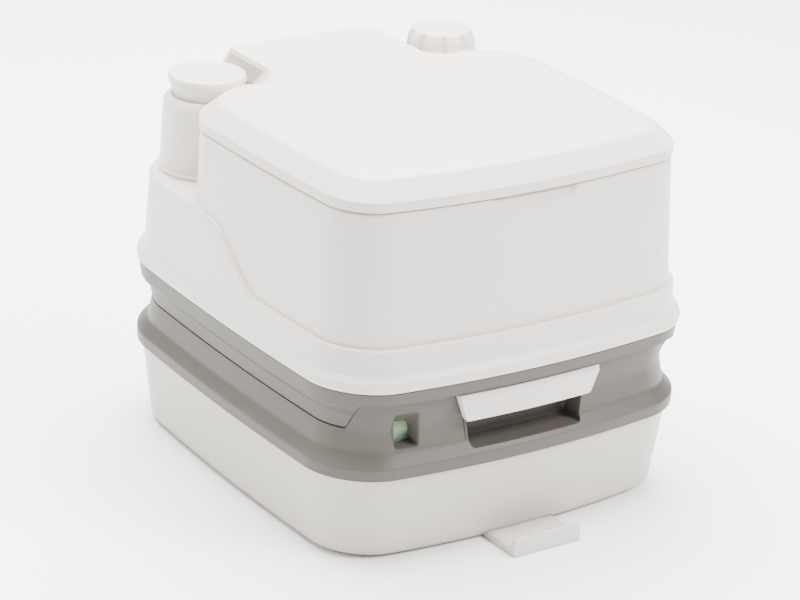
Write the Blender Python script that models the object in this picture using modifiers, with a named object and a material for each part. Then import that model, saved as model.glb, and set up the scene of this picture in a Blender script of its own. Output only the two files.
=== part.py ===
"""Two-piece portable flush toilet, modelled as the real one is assembled.

The lower unit is a waste tank: a white tub welded to a grey top, with a slide
valve, a level gauge, a swivelling pour-out spout and a vent button. The upper
unit is a flush-water tank: a white housing welded to a grey base tray, with the
bowl, a pull-up piston pump, a filler cap, a seat and a lid. Sizes below are in
millimetres; meshes are made in metres. +Z is up, the front faces -Y, and the
origin is on the floor under the middle of the footprint.
"""
import math

import bmesh
import bpy
import numpy as np
from mathutils import Matrix, Vector

MM = 0.001

# Overall footprint at the widest flange, and the plan outline that everything follows
HALF_WIDTH = 171.6
HALF_DEPTH = 192.5
SIDE_BOW = 6.0
FRONT_BOW = 15.0
FRONT_CORNER = 45.0
REAR_CORNER = 63.0
WALL = 3.0
GAP = 0.3

# Heights of the stacked shells
LAP_BOTTOM = 70.6
LAP_TOP = 81.0
WAIST = 107.0
FRONT_SEAM = 130.4
FLANGE = 141.2
CREASE = 172.5
SHOULDER = 215.0
SEAT_DECK = 262.0
TOWER_TOP = 274.4
LID_TOP = 298.6

# Waste tank
TANK_DECK = 104.0
FOOT_ROUND = 10.0
MOUTH_RADIUS = 42.0
MOUTH_Y = -40.0
VALVE_HALF_WIDTH = 56.0
BLADE_HALF_WIDTH = 46.0
BLADE_THICK = 4.0
VALVE_HEIGHT = 12.0
HANDLE_X = -4.0
HANDLE_HALF_TOP = 65.0
HANDLE_HALF_BOTTOM = 57.0
HANDLE_HEIGHT = 22.2
HANDLE_THICK = 6.4
RECESS_FLOOR = 83.5
RECESS_DEPTH = 24.0
RECESS_HALF_FLOOR = 50.6
RECESS_HALF_TOP = 56.0
WINDOW_X = -107.0
WINDOW_HALF = 10.0
WINDOW_LOW = 91.5
WINDOW_HIGH = 119.0
PORT_HIGH = 110.5
DRUM_RADIUS = 13.0
ARM_REACH = 61.0
ARM_DROP = 72.0
FLOAT_RADIUS = 13.0
POCKET_LEFT = -105.0
POCKET_RIGHT = 62.0
POCKET_FLOOR = 56.0
POCKET_ROOF = 98.0
POCKET_DEPTH = 42.0
SPOUT_RADIUS = 14.0
SPOUT_BORE = 11.0
SPOUT_BEND = 20.0
SPOUT_REACH = 134.0
VENT_X = 100.0
VENT_Y = -60.0
BRACKET_HALF = 31.0
BRACKET_PLATE = 4.5
BRACKET_LIP = 14.0
BRACKET_REACH = 24.0
LATCH_X = 92.0
LATCH_HALF = 13.0

# Flush unit
TRAY_FLOOR = 121.0
TOWER_SIDE_INSET = 14.0
TOWER_FRONT_INSET = 19.3
TOWER_FLARE = 3.6
TOWER_FRONT_FLARE = 8.4
TOWER_REAR = HALF_DEPTH - 106.0
TONGUE_HALF = 72.0
TONGUE_REAR = HALF_DEPTH - 58.5
RIM = 8.0
BOWL_HALF_WIDTH = 92.0
BOWL_FRONT_LAND = 23.2
BOWL_REAR_LAND = 32.5
BOWL_FRONT = TOWER_FRONT_INSET + BOWL_FRONT_LAND - HALF_DEPTH
BOWL_REAR = TOWER_REAR - BOWL_REAR_LAND
BOWL_HALF_LENGTH = (BOWL_REAR - BOWL_FRONT) / 2
BOWL_Y = (BOWL_REAR + BOWL_FRONT) / 2
OUTLET_RADIUS = 41.0
NOZZLE_Z = 240.0
PUMP_SIDE_ROOM = 3.0
PUMP_FRONT_ROOM = 1.5
PUMP_RADIUS = 35.0
PUMP_TOP = 277.2
KNOB_RADIUS = 31.2
KNOB_TOP = 294.5
CYLINDER_RADIUS = 21.0
FILLER_SIDE_ROOM = 5.0
FILLER_OVERLAP = 1.0
FILLER_RADIUS = 34.0
FILLER_BORE = 22.5
FILLER_CAP_TOP = 305.0
FILLER_LOBES = 9

# Seat, lid and their shared hinge line
HINGE_Y = TONGUE_REAR + 20.0
HINGE_Z = 281.0
PIN_RADIUS = 3.0
SEAT_BOTTOM = 267.0
SEAT_TOP = 277.5
LID_RIM = 275.6
LID_BAND = 283.2
LID_TONGUE_REAR = HINGE_Y + 15.0
LUG_RADIUS = 7.5

PARTS = None
CUTTERS = None
LATHE_STEPS = 32


def clear_scene():
    for old in list(bpy.data.objects):
        bpy.data.objects.remove(old)


def new_collection(name):
    made = bpy.data.collections.new(name)
    bpy.context.scene.collection.children.link(made)
    return made


def plastic(name, colour, roughness=0.45, metallic=0.0):
    """A Principled material; the colour is linear RGB."""
    made = bpy.data.materials.new(name)
    made.use_nodes = True
    shader = made.node_tree.nodes["Principled BSDF"]
    shader.inputs["Base Color"].default_value = (*colour, 1.0)
    shader.inputs["Roughness"].default_value = roughness
    shader.inputs["Metallic"].default_value = metallic
    return made


def place(name, bm, material, origin=(0, 0, 0), cutter=False):
    """Turn a bmesh in millimetres into an object whose origin is at a point."""
    bmesh.ops.recalc_face_normals(bm, faces=bm.faces)
    start = Vector(origin)
    for vertex in bm.verts:
        vertex.co = (vertex.co - start) * MM
    mesh = bpy.data.meshes.new(name)
    bm.to_mesh(mesh)
    bm.free()
    made = bpy.data.objects.new(name, mesh)
    made.location = start * MM
    if cutter:
        made.hide_render = True
        made.display_type = 'WIRE'
        CUTTERS.objects.link(made)
        return made
    mesh.materials.append(material)
    mesh.shade_smooth()
    mesh.set_sharp_from_angle(angle=math.radians(35))
    PARTS.objects.link(made)
    return made


def boolean(piece, tool, operation='DIFFERENCE'):
    step = piece.modifiers.new(tool.name, 'BOOLEAN')
    step.operation = operation
    step.solver = 'EXACT'
    step.object = tool


def arc(centre, radius, start, end, steps):
    """Points on an arc in plan, angles in degrees, both ends included."""
    turn = np.radians(np.linspace(start, end, steps + 1))
    return np.stack([centre[0] + radius * np.cos(turn), centre[1] + radius * np.sin(turn)], 1)


def run(first, last, steps):
    """Evenly spaced points from first up to, not including, last."""
    part = np.linspace(0, 1, steps + 1)[:-1, None]
    return np.array(first, float) + (np.array(last, float) - np.array(first, float)) * part


def mirrored(half):
    """Close a right-hand half outline, from front centre to rear centre, on the left."""
    left = half[1:-1][::-1] * np.array([-1.0, 1.0])
    return np.concatenate([half, left])


def bowed(points, flat_half, flat_depth, corner):
    """Swell the sides and the ends of a rounded rectangle outwards, most at their middles."""
    x, y = points[:, 0], points[:, 1]
    end = np.clip(np.abs(y) / (flat_depth - corner), 0, 1) ** 2
    side = np.clip(np.abs(x) / (flat_half - corner), 0, 1) ** 2
    out_y = y + np.sign(y) * FRONT_BOW * (1 - (x / flat_half) ** 2) * end
    out_x = x + np.sign(x) * SIDE_BOW * np.clip(1 - (y / flat_depth) ** 2, 0, 1) * side
    return np.stack([out_x, out_y], 1)


def base_plan(inset):
    """The footprint's rounded outline with bowed sides, moved inwards all round."""
    half = HALF_WIDTH - SIDE_BOW - inset
    depth = HALF_DEPTH - FRONT_BOW - inset
    front = FRONT_CORNER - inset / 2
    rear = REAR_CORNER - inset / 2
    points = np.concatenate([
        run((0, -depth), (half - front, -depth), 4),
        arc((half - front, front - depth), front, -90, 0, 7)[:-1],
        run((half, front - depth), (half, depth - rear), 6),
        arc((half - rear, depth - rear), rear, 0, 90, 8),
        run((half - rear, depth), (0, depth), 3)[1:],
        np.array([[0.0, depth]])])
    return mirrored(bowed(points, half, depth, front))


def wall_y(x, inset):
    """Distance of the bowed front or rear wall from the middle, at a given x."""
    half = HALF_WIDTH - SIDE_BOW - inset
    return HALF_DEPTH - FRONT_BOW - inset + FRONT_BOW * (1 - (x / half) ** 2)


def tower_plan(inset, height=TOWER_TOP, tongue_rear=TONGUE_REAR, tongue_half=TONGUE_HALF):
    """Outline of the seat tower with its narrow hinge tongue at the rear."""
    drop = (TOWER_TOP - height) / (TOWER_TOP - CREASE)
    half = HALF_WIDTH - TOWER_SIDE_INSET + TOWER_FLARE * drop - SIDE_BOW - inset
    depth = HALF_DEPTH - TOWER_FRONT_INSET + TOWER_FRONT_FLARE * drop - FRONT_BOW - inset
    front = 31.0 + 6.0 * drop - inset / 2
    back = TOWER_REAR - inset
    rear = 48.0 - inset / 2
    hollow = 17.0 + inset
    tongue = tongue_half - inset
    tip = tongue_rear - inset
    soft = 9.0
    wide = np.concatenate([
        run((0, -depth), (half - front, -depth), 4),
        arc((half - front, front - depth), front, -90, 0, 6)[:-1],
        run((half, front - depth), (half, back - rear), 5),
        arc((half - rear, back - rear), rear, 0, 70, 5)])
    wide = bowed(wide, half, depth, front)
    narrow = np.concatenate([
        arc((tongue + hollow, back + hollow), hollow, 270, 180, 4),
        arc((tongue - soft, tip - soft), soft, 0, 90, 3),
        np.array([[0.0, tip]])])
    return mirrored(np.concatenate([wide, narrow]))


def ring(plan, height):
    return [Vector((x, y, height)) for x, y in plan]


def oval(half_x, half_y, centre_y, height, count=32):
    turn = np.linspace(0, 2 * np.pi, count, endpoint=False)
    return [Vector((half_x * math.cos(t), centre_y + half_y * math.sin(t), height)) for t in turn]


def loft(name, rings, material=None, origin=(0, 0, 0), endless=False, cutter=False):
    """Skin unlike sections that have the same number of points, and cap or join the ends."""
    bm = bmesh.new()
    rows = [[bm.verts.new(point) for point in section] for section in rings]
    pairs = list(zip(rows, rows[1:]))
    if endless:
        pairs.append((rows[-1], rows[0]))
    else:
        bm.faces.new(rows[0][::-1])
        bm.faces.new(rows[-1])
    for low, high in pairs:
        for i in range(len(low)):
            j = (i + 1) % len(low)
            bm.faces.new((low[i], low[j], high[j], high[i]))
    return place(name, bm, material, origin, cutter)


def stack(plan, steps):
    """Sections of a plan function, one for each (height, inset) step."""
    return [ring(plan(inset), height) for height, inset in steps]


def box(name, low, high, material=None, origin=(0, 0, 0), cutter=False):
    bm = bmesh.new()
    size = Vector(high) - Vector(low)
    middle = (Vector(high) + Vector(low)) / 2
    fit = Matrix.Translation(middle) @ Matrix.Diagonal((*size, 1))
    bmesh.ops.create_cube(bm, size=1.0, matrix=fit)
    return place(name, bm, material, origin, cutter)


def axis_turn(axis):
    """Rotation that lays a shape made along Z along another axis."""
    if axis == 'X':
        return Matrix.Rotation(math.radians(90), 4, 'Y')
    if axis == 'Y':
        return Matrix.Rotation(math.radians(-90), 4, 'X')
    return Matrix.Identity(4)


def rod(name, centre, radius, length, axis='Z', material=None, origin=None, cutter=False,
        tip=None, segments=24):
    """A cylinder, or a cone when its far end has another radius."""
    bm = bmesh.new()
    fit = Matrix.Translation(Vector(centre)) @ axis_turn(axis)
    bmesh.ops.create_cone(bm, cap_ends=True, segments=segments, radius1=radius,
                          radius2=radius if tip is None else tip, depth=length, matrix=fit)
    return place(name, bm, material, centre if origin is None else origin, cutter)


def prism(name, outline, low, high, axis, material=None, origin=(0, 0, 0), cutter=False):
    """A flat outline given thickness along an axis; x outlines are (y, z), y outlines (x, z)."""
    at = {'X': lambda p, t: (t, p[0], p[1]), 'Y': lambda p, t: (p[0], t, p[1])}[axis]
    bm = bmesh.new()
    face = bm.faces.new([bm.verts.new(at(point, low)) for point in outline])
    grown = bmesh.ops.extrude_face_region(bm, geom=[face])
    moved = [item for item in grown["geom"] if isinstance(item, bmesh.types.BMVert)]
    bmesh.ops.translate(bm, verts=moved, vec=Vector(at((0, 0), high)) - Vector(at((0, 0), low)))
    return place(name, bm, material, origin, cutter)


def turned(name, profile, centre, material, axis='Z', steps=LATHE_STEPS, cutter=False):
    """Screw a closed (radius, height) outline round an axis through a point."""
    bm = bmesh.new()
    points = [bm.verts.new((radius * MM, 0, height * MM)) for radius, height in profile]
    for first, last in zip(points, points[1:]):
        bm.edges.new((first, last))
    if profile[0][0] > 0 or profile[-1][0] > 0:
        bm.edges.new((points[-1], points[0]))
    mesh = bpy.data.meshes.new(name)
    bm.to_mesh(mesh)
    bm.free()
    made = bpy.data.objects.new(name, mesh)
    made.matrix_world = Matrix.Translation(Vector(centre) * MM) @ axis_turn(axis)
    spin = made.modifiers.new("turn", 'SCREW')
    spin.axis = 'Z'
    spin.steps = steps
    spin.render_steps = steps
    spin.use_merge_vertices = True
    spin.merge_threshold = 0.00001
    spin.use_smooth_shade = True
    if cutter:
        made.hide_render = True
        made.display_type = 'WIRE'
        CUTTERS.objects.link(made)
    else:
        mesh.materials.append(material)
        PARTS.objects.link(made)
    return made


# ---------------------------------------------------------------- waste tank

TUB_INSET = 3.8
TUB_STEPS = [(0.0, 19.0), (1.4, 15.2), (4.0, 12.6), (FOOT_ROUND, 10.8), (LAP_TOP, TUB_INSET)]
BAND_STEPS = [(LAP_BOTTOM, 1.8), (74.0, 0.8), (79.0, 1.6), (83.0, 3.4), (87.0, 6.0),
              (90.5, 8.4), (97.0, 9.8), (WAIST, 11.3), (116.0, 10.2), (FRONT_SEAM - GAP, 8.6)]


def front_block(name, grow):
    """Prism over the raised front of the tank top, wider by a clearance at its slanted ends."""
    outer = HALF_WIDTH - 24.6 + grow
    inner = HALF_WIDTH - 32.6 + grow
    top = FRONT_SEAM + grow
    low = WAIST + grow - 12
    outline = [(-outer, low), (outer, low), (outer, WAIST + grow), (inner, top), (-inner, top),
               (-outer, WAIST + grow)]
    return prism(name, outline, -HALF_DEPTH - 20, -HALF_DEPTH + 62 + grow, 'Y', cutter=True)


def tank_tub(white):
    """Welded-on lower tub: one open-topped shell with a tongue pocket front and rear."""
    inner = [(WALL, 22.0), (WALL + 4, 15.8), (FOOT_ROUND + 3, 10.8 + WALL), (LAP_TOP, TUB_INSET + WALL)]
    sections = stack(base_plan, TUB_STEPS) + stack(base_plan, inner[::-1])
    tub = loft("tank_tub", sections, white)
    notch = box("tub_notch",
                (POCKET_LEFT - WALL - 0.6, HALF_DEPTH - POCKET_DEPTH - 8, POCKET_FLOOR - WALL - 0.6),
                (POCKET_RIGHT + WALL + 0.6, HALF_DEPTH + 10, LAP_TOP + 10), cutter=True)
    boolean(tub, notch)
    for side, label in ((-1, "front"), (1, "rear")):
        near = HALF_DEPTH - 16
        far = HALF_DEPTH - 42
        block = box("hook_block_" + label, (-BRACKET_HALF - 5, min(side * near, side * far), 0.9),
                    (BRACKET_HALF + 5, max(side * near, side * far), 9.0), cutter=True)
        slot = box("hook_slot_" + label,
                   (-BRACKET_HALF - 1.0, min(side * (HALF_DEPTH + 5), side * (far + 4)), -2.0),
                   (BRACKET_HALF + 1.0, max(side * (HALF_DEPTH + 5), side * (far + 4)), BRACKET_PLATE + 0.7),
                   cutter=True)
        boolean(tub, block, 'UNION')
        boolean(tub, slot)
    return tub


def hold_down_bracket(white, side, label):
    """Floor bracket: a plate under the tub's edge, an upturned lip and two key holes."""
    lip = HALF_DEPTH + BRACKET_REACH
    inner = HALF_DEPTH - 36
    outline = [(side * inner, 0), (side * lip, 0), (side * lip, BRACKET_LIP),
               (side * (lip - 4), BRACKET_LIP),
               (side * (lip - 5.5), BRACKET_PLATE), (side * inner, BRACKET_PLATE)]
    bracket = prism("bracket_" + label, outline, -BRACKET_HALF, BRACKET_HALF, 'X', white)
    for x in (-BRACKET_HALF / 2, BRACKET_HALF / 2):
        hole_y = side * (HALF_DEPTH + BRACKET_REACH / 2 - 4)
        hole = rod(f"key_{label}_{'l' if x < 0 else 'r'}", (x - 1, hole_y, BRACKET_PLATE / 2), 4.2, 20,
                   cutter=True, segments=16)
        slot = box(f"key_slot_{label}_{'l' if x < 0 else 'r'}", (x - 1, hole_y - 2.1, -4),
                   (x + 7.5, hole_y + 2.1, 10), cutter=True)
        boolean(bracket, hole)
        boolean(bracket, slot)
    return bracket


def tank_top(grey):
    """Grey upper half of the waste tank: band, raised front, deck, recess and pockets."""
    deck_inset = 14.5
    lap = TUB_INSET - 0.35
    inside = [(LAP_BOTTOM, lap), (LAP_TOP + 0.4, lap), (LAP_TOP + 3.5, 7.0), (90.5, 11.8), (97.0, 13.0),
              (TANK_DECK - WALL, 13.6)]
    over = [(TANK_DECK, deck_inset), (FRONT_SEAM - GAP, 8.6 + WALL)]
    steps = inside[::-1] + BAND_STEPS + over[::-1]
    top = loft("tank_top", stack(base_plan, steps), grey)
    keep = front_block("front_keep", 0.0)
    crown = box("crown_cut", (-HALF_WIDTH - 9, -HALF_DEPTH - 9, WAIST - GAP),
                (HALF_WIDTH + 9, HALF_DEPTH + 9,
                FRONT_SEAM + 9), cutter=True)
    boolean(crown, keep)
    boolean(top, crown)
    recess_and_window(top)
    spout_pocket(top)
    mouth = rod("mouth_cut", (0, MOUTH_Y, TANK_DECK), MOUTH_RADIUS, 20, cutter=True, segments=40)
    boolean(top, mouth)
    vent = rod("vent_cut", (VENT_X, VENT_Y, TANK_DECK), 4.4, 20, cutter=True, segments=16)
    boolean(top, vent)
    catch = box("catch_cut", (LATCH_X - LATCH_HALF - 1, wall_y(LATCH_X, 20), 96.5),
                (LATCH_X + LATCH_HALF + 1, HALF_DEPTH + 5, 102.6), cutter=True)
    boolean(top, catch)
    return top


def recess_outline(grow):
    """Front view of the grip recess: narrow floor, wider towards the handle."""
    low, high = RECESS_FLOOR - grow, FRONT_SEAM + 1.0
    return [(HANDLE_X - RECESS_HALF_FLOOR - grow, low), (HANDLE_X + RECESS_HALF_FLOOR + grow, low),
            (HANDLE_X + RECESS_HALF_TOP + grow, high), (HANDLE_X - RECESS_HALF_TOP - grow, high)]


def recess_and_window(top):
    back = HALF_DEPTH - 4.5 - RECESS_DEPTH
    block = box("recess_block", (HANDLE_X - RECESS_HALF_TOP - WALL, 11.5 - HALF_DEPTH, RECESS_FLOOR - WALL),
                (HANDLE_X + RECESS_HALF_TOP + WALL, WALL - back, TANK_DECK + VALVE_HEIGHT + 1), cutter=True)
    boolean(top, block, 'UNION')
    hollow = prism("recess_hollow", recess_outline(0), -HALF_DEPTH - 10, -back, 'Y', cutter=True)
    boolean(top, hollow)
    blade = blade_level()
    slot = box("blade_slot", (-BLADE_HALF_WIDTH - 0.5, -back - 2, blade - 0.4),
               (BLADE_HALF_WIDTH + 0.5, WALL - back + 1, blade + BLADE_THICK + 0.4), cutter=True)
    boolean(top, slot)
    left, right = WINDOW_X - WINDOW_HALF, WINDOW_X + WINDOW_HALF
    face = wall_y(WINDOW_X, 12.6)
    chamber = box("gauge_block", (left - 5, -face, WINDOW_LOW - 3.4), (right + 5, 8 - face, WINDOW_HIGH + 3),
                  cutter=True)
    cover = box("gauge_cover", (left - 5, 1 - face, gauge_z() - 5), (right + 5, 40 - face, WINDOW_HIGH + 3),
                cutter=True)
    boolean(top, chamber, 'UNION')
    boolean(top, cover, 'UNION')
    funnel = loft("window_funnel", window_sections(), cutter=True)
    boolean(top, funnel)
    room = box("gauge_room", (left - 1.6, 8.6 - face, gauge_z() - 12), (right + 1.6, 37 - face, WINDOW_HIGH),
               cutter=True)
    boolean(top, room)
    axle = rod("axle_cut", (WINDOW_X, gauge_y(), gauge_z()), 2.3, 2 * WINDOW_HALF + 8.4, 'X', cutter=True,
               segments=16)
    boolean(top, axle)


def window_sections():
    """Funnel of the sight window, from its wide mouth to the small port in front of the drum."""
    return [window_ring(6.0, 0.6, WINDOW_LOW, WINDOW_HIGH), window_ring(0.0, 0.0, WINDOW_LOW, WINDOW_HIGH),
            window_ring(-10.4, -1.0, WINDOW_LOW, PORT_HIGH), window_ring(-16.0, -1.0, WINDOW_LOW, PORT_HIGH)]


def window_ring(out, grow, low, high):
    """Rounded upright rectangle at a distance in front of the band's wall."""
    soft = 3.0
    half, low, high = WINDOW_HALF + grow, low - grow, high + grow
    corners = [(half - soft, low + soft, -90), (half - soft, high - soft, 0), (soft - half, high - soft, 90),
               (soft - half, low + soft, 180)]
    plan = np.concatenate([arc((cx, cz), soft, start, start + 90, 3) for cx, cz, start in corners])
    y = -wall_y(WINDOW_X, 9.0) - out
    return [Vector((WINDOW_X + x, y, z)) for x, z in plan]


def spout_pocket(top):
    front = HALF_DEPTH - POCKET_DEPTH
    block = box("pocket_block", (POCKET_LEFT - WALL, front - WALL, POCKET_FLOOR - WALL),
                (POCKET_RIGHT + WALL, wall_y(POCKET_LEFT, 8.5), TANK_DECK - 1), cutter=True)
    hollow = box("pocket_hollow", (POCKET_LEFT, front, POCKET_FLOOR),
                 (POCKET_RIGHT, HALF_DEPTH + 9, POCKET_ROOF),
                 cutter=True)
    neck = rod("neck_cut", (*spout_axis(), POCKET_FLOOR), SPOUT_BORE, 20, cutter=True)
    boolean(top, block, 'UNION')
    boolean(top, hollow)
    boolean(top, neck)


def blade_level():
    return TANK_DECK + GAP + (VALVE_HEIGHT - BLADE_THICK) / 2


def slide_valve(dark, grey, white, rubber):
    """Slide valve: a flat housing on the deck, a blade and the white pull handle."""
    low = TANK_DECK + GAP
    back = HALF_DEPTH - 4.5 - RECESS_DEPTH
    rear = MOUTH_Y + MOUTH_RADIUS + 12
    body = box("valve_body", (-VALVE_HALF_WIDTH, WALL - back + GAP, low),
               (VALVE_HALF_WIDTH, rear, low + VALVE_HEIGHT),
               dark)
    blade_low = blade_level()
    track = box("blade_track", (-BLADE_HALF_WIDTH - 0.4, -HALF_DEPTH, blade_low - 0.4),
                (BLADE_HALF_WIDTH + 0.4, rear - 4, blade_low + BLADE_THICK + 0.4), cutter=True)
    throat = rod("throat_cut", (0, MOUTH_Y, low), MOUTH_RADIUS, 60, cutter=True, segments=40)
    boolean(body, track)
    boolean(body, throat)
    grip_back = wall_y(0, 8.6) + 0.5
    box("valve_blade", (-BLADE_HALF_WIDTH, GAP - grip_back, blade_low),
        (BLADE_HALF_WIDTH, MOUTH_Y + MOUTH_RADIUS + 6, blade_low + BLADE_THICK), grey)
    pull_handle(white, grip_back)
    seal_top = TRAY_FLOOR - GAP
    turned("valve_lip_seal", [(MOUTH_RADIUS + 6, seal_top - 1), (MOUTH_RADIUS + 7, low + VALVE_HEIGHT + GAP),
                              (MOUTH_RADIUS, low + VALVE_HEIGHT + GAP), (MOUTH_RADIUS, seal_top - 1),
                              (MOUTH_RADIUS + 3, seal_top)], (0, MOUTH_Y, 0), rubber)


def pull_handle(white, grip_back):
    """Trapezoid bar with sloping ends, flush in front of the recess."""
    high = FRONT_SEAM - 1.1
    low = high - HANDLE_HEIGHT
    top, bottom = HANDLE_HALF_TOP, HANDLE_HALF_BOTTOM
    sections = []
    for depth, shrink in ((0.0, 0.0), (HANDLE_THICK - 1.2, 0.8), (HANDLE_THICK, 2.4)):
        y = -grip_back - depth
        sections.append([Vector((HANDLE_X - bottom + shrink, y, low + shrink)),
                         Vector((HANDLE_X + bottom - shrink, y, low + shrink)),
                         Vector((HANDLE_X + top - shrink, y, high - shrink / 2)),
                         Vector((HANDLE_X - top + shrink, y, high - shrink / 2))])
    loft("valve_handle", sections, white)


def gauge_y():
    return DRUM_RADIUS + 9.5 - wall_y(WINDOW_X, 12.6)


def gauge_z():
    return (WINDOW_LOW + PORT_HIGH) / 2 - 1.0


def level_gauge(green, clear, grey, white):
    """Float gauge: a green drum behind a clear window, turned by a float on an arm."""
    y, z = gauge_y(), gauge_z()
    axis = (WINDOW_X, y, z)
    half = WINDOW_HALF
    drum = rod("level_drum", axis, DRUM_RADIUS, 2 * half, 'X', green, axis)
    bore = rod("drum_bore", axis, 2.3, 60, 'X', cutter=True, segments=16)
    boolean(drum, bore)
    rod("level_axle", axis, 2.0, 2 * half + 8, 'X', grey, axis, segments=16)
    start = Vector((WINDOW_X, y, z - DRUM_RADIUS - 0.8))
    bend = Vector((WINDOW_X, y + 1.5, z - DRUM_RADIUS - 9))
    middle = Vector((WINDOW_X, y + ARM_REACH, z - ARM_DROP))
    end = middle - (middle - bend).normalized() * (FLOAT_RADIUS + 0.6)
    path_tube("float_arm", [start, bend, end], 2.2, 0.0, grey, axis, sides=8)
    bm = bmesh.new()
    bmesh.ops.create_uvsphere(bm, u_segments=16, v_segments=10, radius=FLOAT_RADIUS,
                              matrix=Matrix.Translation(middle))
    place("level_float", bm, white, axis)
    panes = [window_ring(depth, -1.3, WINDOW_LOW, PORT_HIGH) for depth in (-10.8, -12.4)]
    loft("level_window", panes, clear)


def path_tube(name, path, outer, inner, material, origin=(0, 0, 0), sides=16, cutter=False):
    """A round section carried along a bent path; a bore makes it an open pipe."""
    path = [Vector(point) for point in path]
    rings = {outer: [], inner: []}
    side = None
    for i, point in enumerate(path):
        ahead = (path[min(i + 1, len(path) - 1)] - path[max(i - 1, 0)]).normalized()
        if side is None:
            side = ahead.orthogonal().normalized()
        side = (side - ahead * side.dot(ahead)).normalized()
        up = ahead.cross(side)
        for radius, made in rings.items():
            made.append([point + (side * math.cos(t) + up * math.sin(t)) * radius
                         for t in np.linspace(0, 2 * np.pi, sides, endpoint=False)])
    if inner == 0:
        return loft(name, rings[outer], material, origin, cutter=cutter)
    return loft(name, rings[outer] + rings[inner][::-1], material, origin, endless=True, cutter=cutter)


def spout_axis():
    return POCKET_LEFT + SPOUT_RADIUS + 7, HALF_DEPTH - POCKET_DEPTH + SPOUT_RADIUS + 4


def pour_spout(grey, dark, rubber):
    """Pour-out spout: an elbow that swivels out of its pocket, with a screwed cap."""
    x, y = spout_axis()
    low = POCKET_FLOOR + GAP
    pipe_z = low + 4 + SPOUT_BEND
    origin = (x, y, pipe_z)
    bend = [Vector((x + SPOUT_BEND * (1 - math.cos(t)), y, low + 4 + SPOUT_BEND * math.sin(t)))
            for t in np.radians(np.linspace(0, 90, 6))]
    end = x + SPOUT_REACH
    path = [Vector((x, y, low))] + bend + [Vector((end, y, pipe_z))]
    path_tube("spout_pipe", path, SPOUT_RADIUS, SPOUT_BORE, grey, origin, sides=20)
    cup = SPOUT_RADIUS + 0.4
    turned("spout_cap", [(0.0, 5.2), (cup, 5.2), (cup + 2.2, 3), (cup + 2.2, -12), (cup, -12), (cup, 2.0),
                         (0.0, 2.0)], (end, y, pipe_z), dark, 'X', 24)
    turned("spout_gasket", [(SPOUT_RADIUS, 1.7), (SPOUT_RADIUS, GAP), (SPOUT_BORE, GAP), (SPOUT_BORE, 1.7)],
           (end, y, pipe_z), rubber, 'X', 24)


def vent_valve(green, rubber):
    """Thumb button over a small vent in the deck, with a rubber seat underneath."""
    deck = TANK_DECK
    turned("vent_button", [(0.0, deck + 8.2), (7.6, deck + 7.6), (8.6, deck + 4.6), (4.0, deck + 4.2),
                           (4.0, deck - 9), (0.0, deck - 9)], (VENT_X, VENT_Y, 0), green, steps=24)
    under = deck - WALL - 0.4
    turned("vent_gasket", [(8.6, under), (8.6, under - 2.4), (4.3, under - 2.4), (4.3, under)],
           (VENT_X, VENT_Y, 0), rubber, steps=24)


# ---------------------------------------------------------------- flush unit

def base_tray(grey):
    """Grey tray: the flush tank's floor with a skirt that sits over the waste tank."""
    floor_inset = 14.5
    under = [(TRAY_FLOOR, floor_inset), (WAIST, 11.3 + WALL), (WAIST, 11.3)]
    outer = [(114.0, 9.6), (119.5, 8.9), (124.0, 6.3), (128.0, 3.4), (134.0, 2.0), (FLANGE - GAP, 1.6)]
    over = [(FLANGE - GAP, 6.0), (TRAY_FLOOR + WALL, floor_inset)]
    tray = loft("base_tray", stack(base_plan, under + outer + over), grey)
    shelf_steps = [(TRAY_FLOOR + 0.5, 9.4), (FRONT_SEAM + GAP + WALL, 8.0)]
    shelf = loft("front_shelf", stack(base_plan, shelf_steps), cutter=True)
    boolean(shelf, front_block("front_shelf_limit", GAP + WALL), 'INTERSECT')
    boolean(tray, shelf, 'UNION')
    boolean(tray, front_block("front_gap", GAP))
    outlet = rod("outlet_cut", (0, MOUTH_Y, TRAY_FLOOR), OUTLET_RADIUS, 30, cutter=True, segments=40)
    boolean(tray, outlet)
    y = latch_y()
    for x in (LATCH_X - LATCH_HALF - 3.5, LATCH_X + LATCH_HALF + 0.5):
        ear = box("latch_ear_" + ("l" if x < LATCH_X else "r"), (x, y - 10, 113.0),
                  (x + 3.0, y + 4.0, 123.0),
                  cutter=True)
        boolean(tray, ear, 'UNION')
    pin = rod("latch_bore", (LATCH_X, y, 118.0), 2.1, 2 * LATCH_HALF + 12, 'X', cutter=True, segments=16)
    boolean(tray, pin)
    return tray


def latch_y():
    return wall_y(LATCH_X - LATCH_HALF, 9.0) + 5.2


def rear_latch(grey, steel):
    """Release lever: pivots on the tray and hooks into a slot in the tank's rear wall."""
    y = latch_y()
    pivot = (LATCH_X, y, 118.0)
    face = y - 5.2
    outline = [(face + 3.2, 121.6), (face + 7.6, 121.6), (face + 7.6, 98.2), (face - 0.6, 98.2),
               (face - 0.6, 101.0), (face + 4.0, 102.4), (face + 3.2, 112.0)]
    lever = prism("latch_lever", outline, LATCH_X - LATCH_HALF, LATCH_X + LATCH_HALF, 'X', grey, pivot)
    bore = rod("lever_bore", pivot, 2.1, 3 * LATCH_HALF, 'X', cutter=True, segments=16)
    boolean(lever, bore)
    rod("latch_pin", pivot, 1.9, 2 * LATCH_HALF + 7, 'X', steel, pivot, segments=16)


def slope_cut(name, drop):
    """Wedge that lowers the skirt's top from the rear shoulder to the front crease."""
    outline = [(-HALF_DEPTH - 20, CREASE - drop), (-HALF_DEPTH * 0.2, CREASE - drop),
               (HALF_DEPTH * 0.073, SHOULDER - 2.6 - drop), (HALF_DEPTH * 0.073, SHOULDER + 30),
               (-HALF_DEPTH - 20, SHOULDER + 30)]
    return prism(name, outline, -HALF_WIDTH - 10, HALF_WIDTH + 10, 'X', cutter=True)


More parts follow.
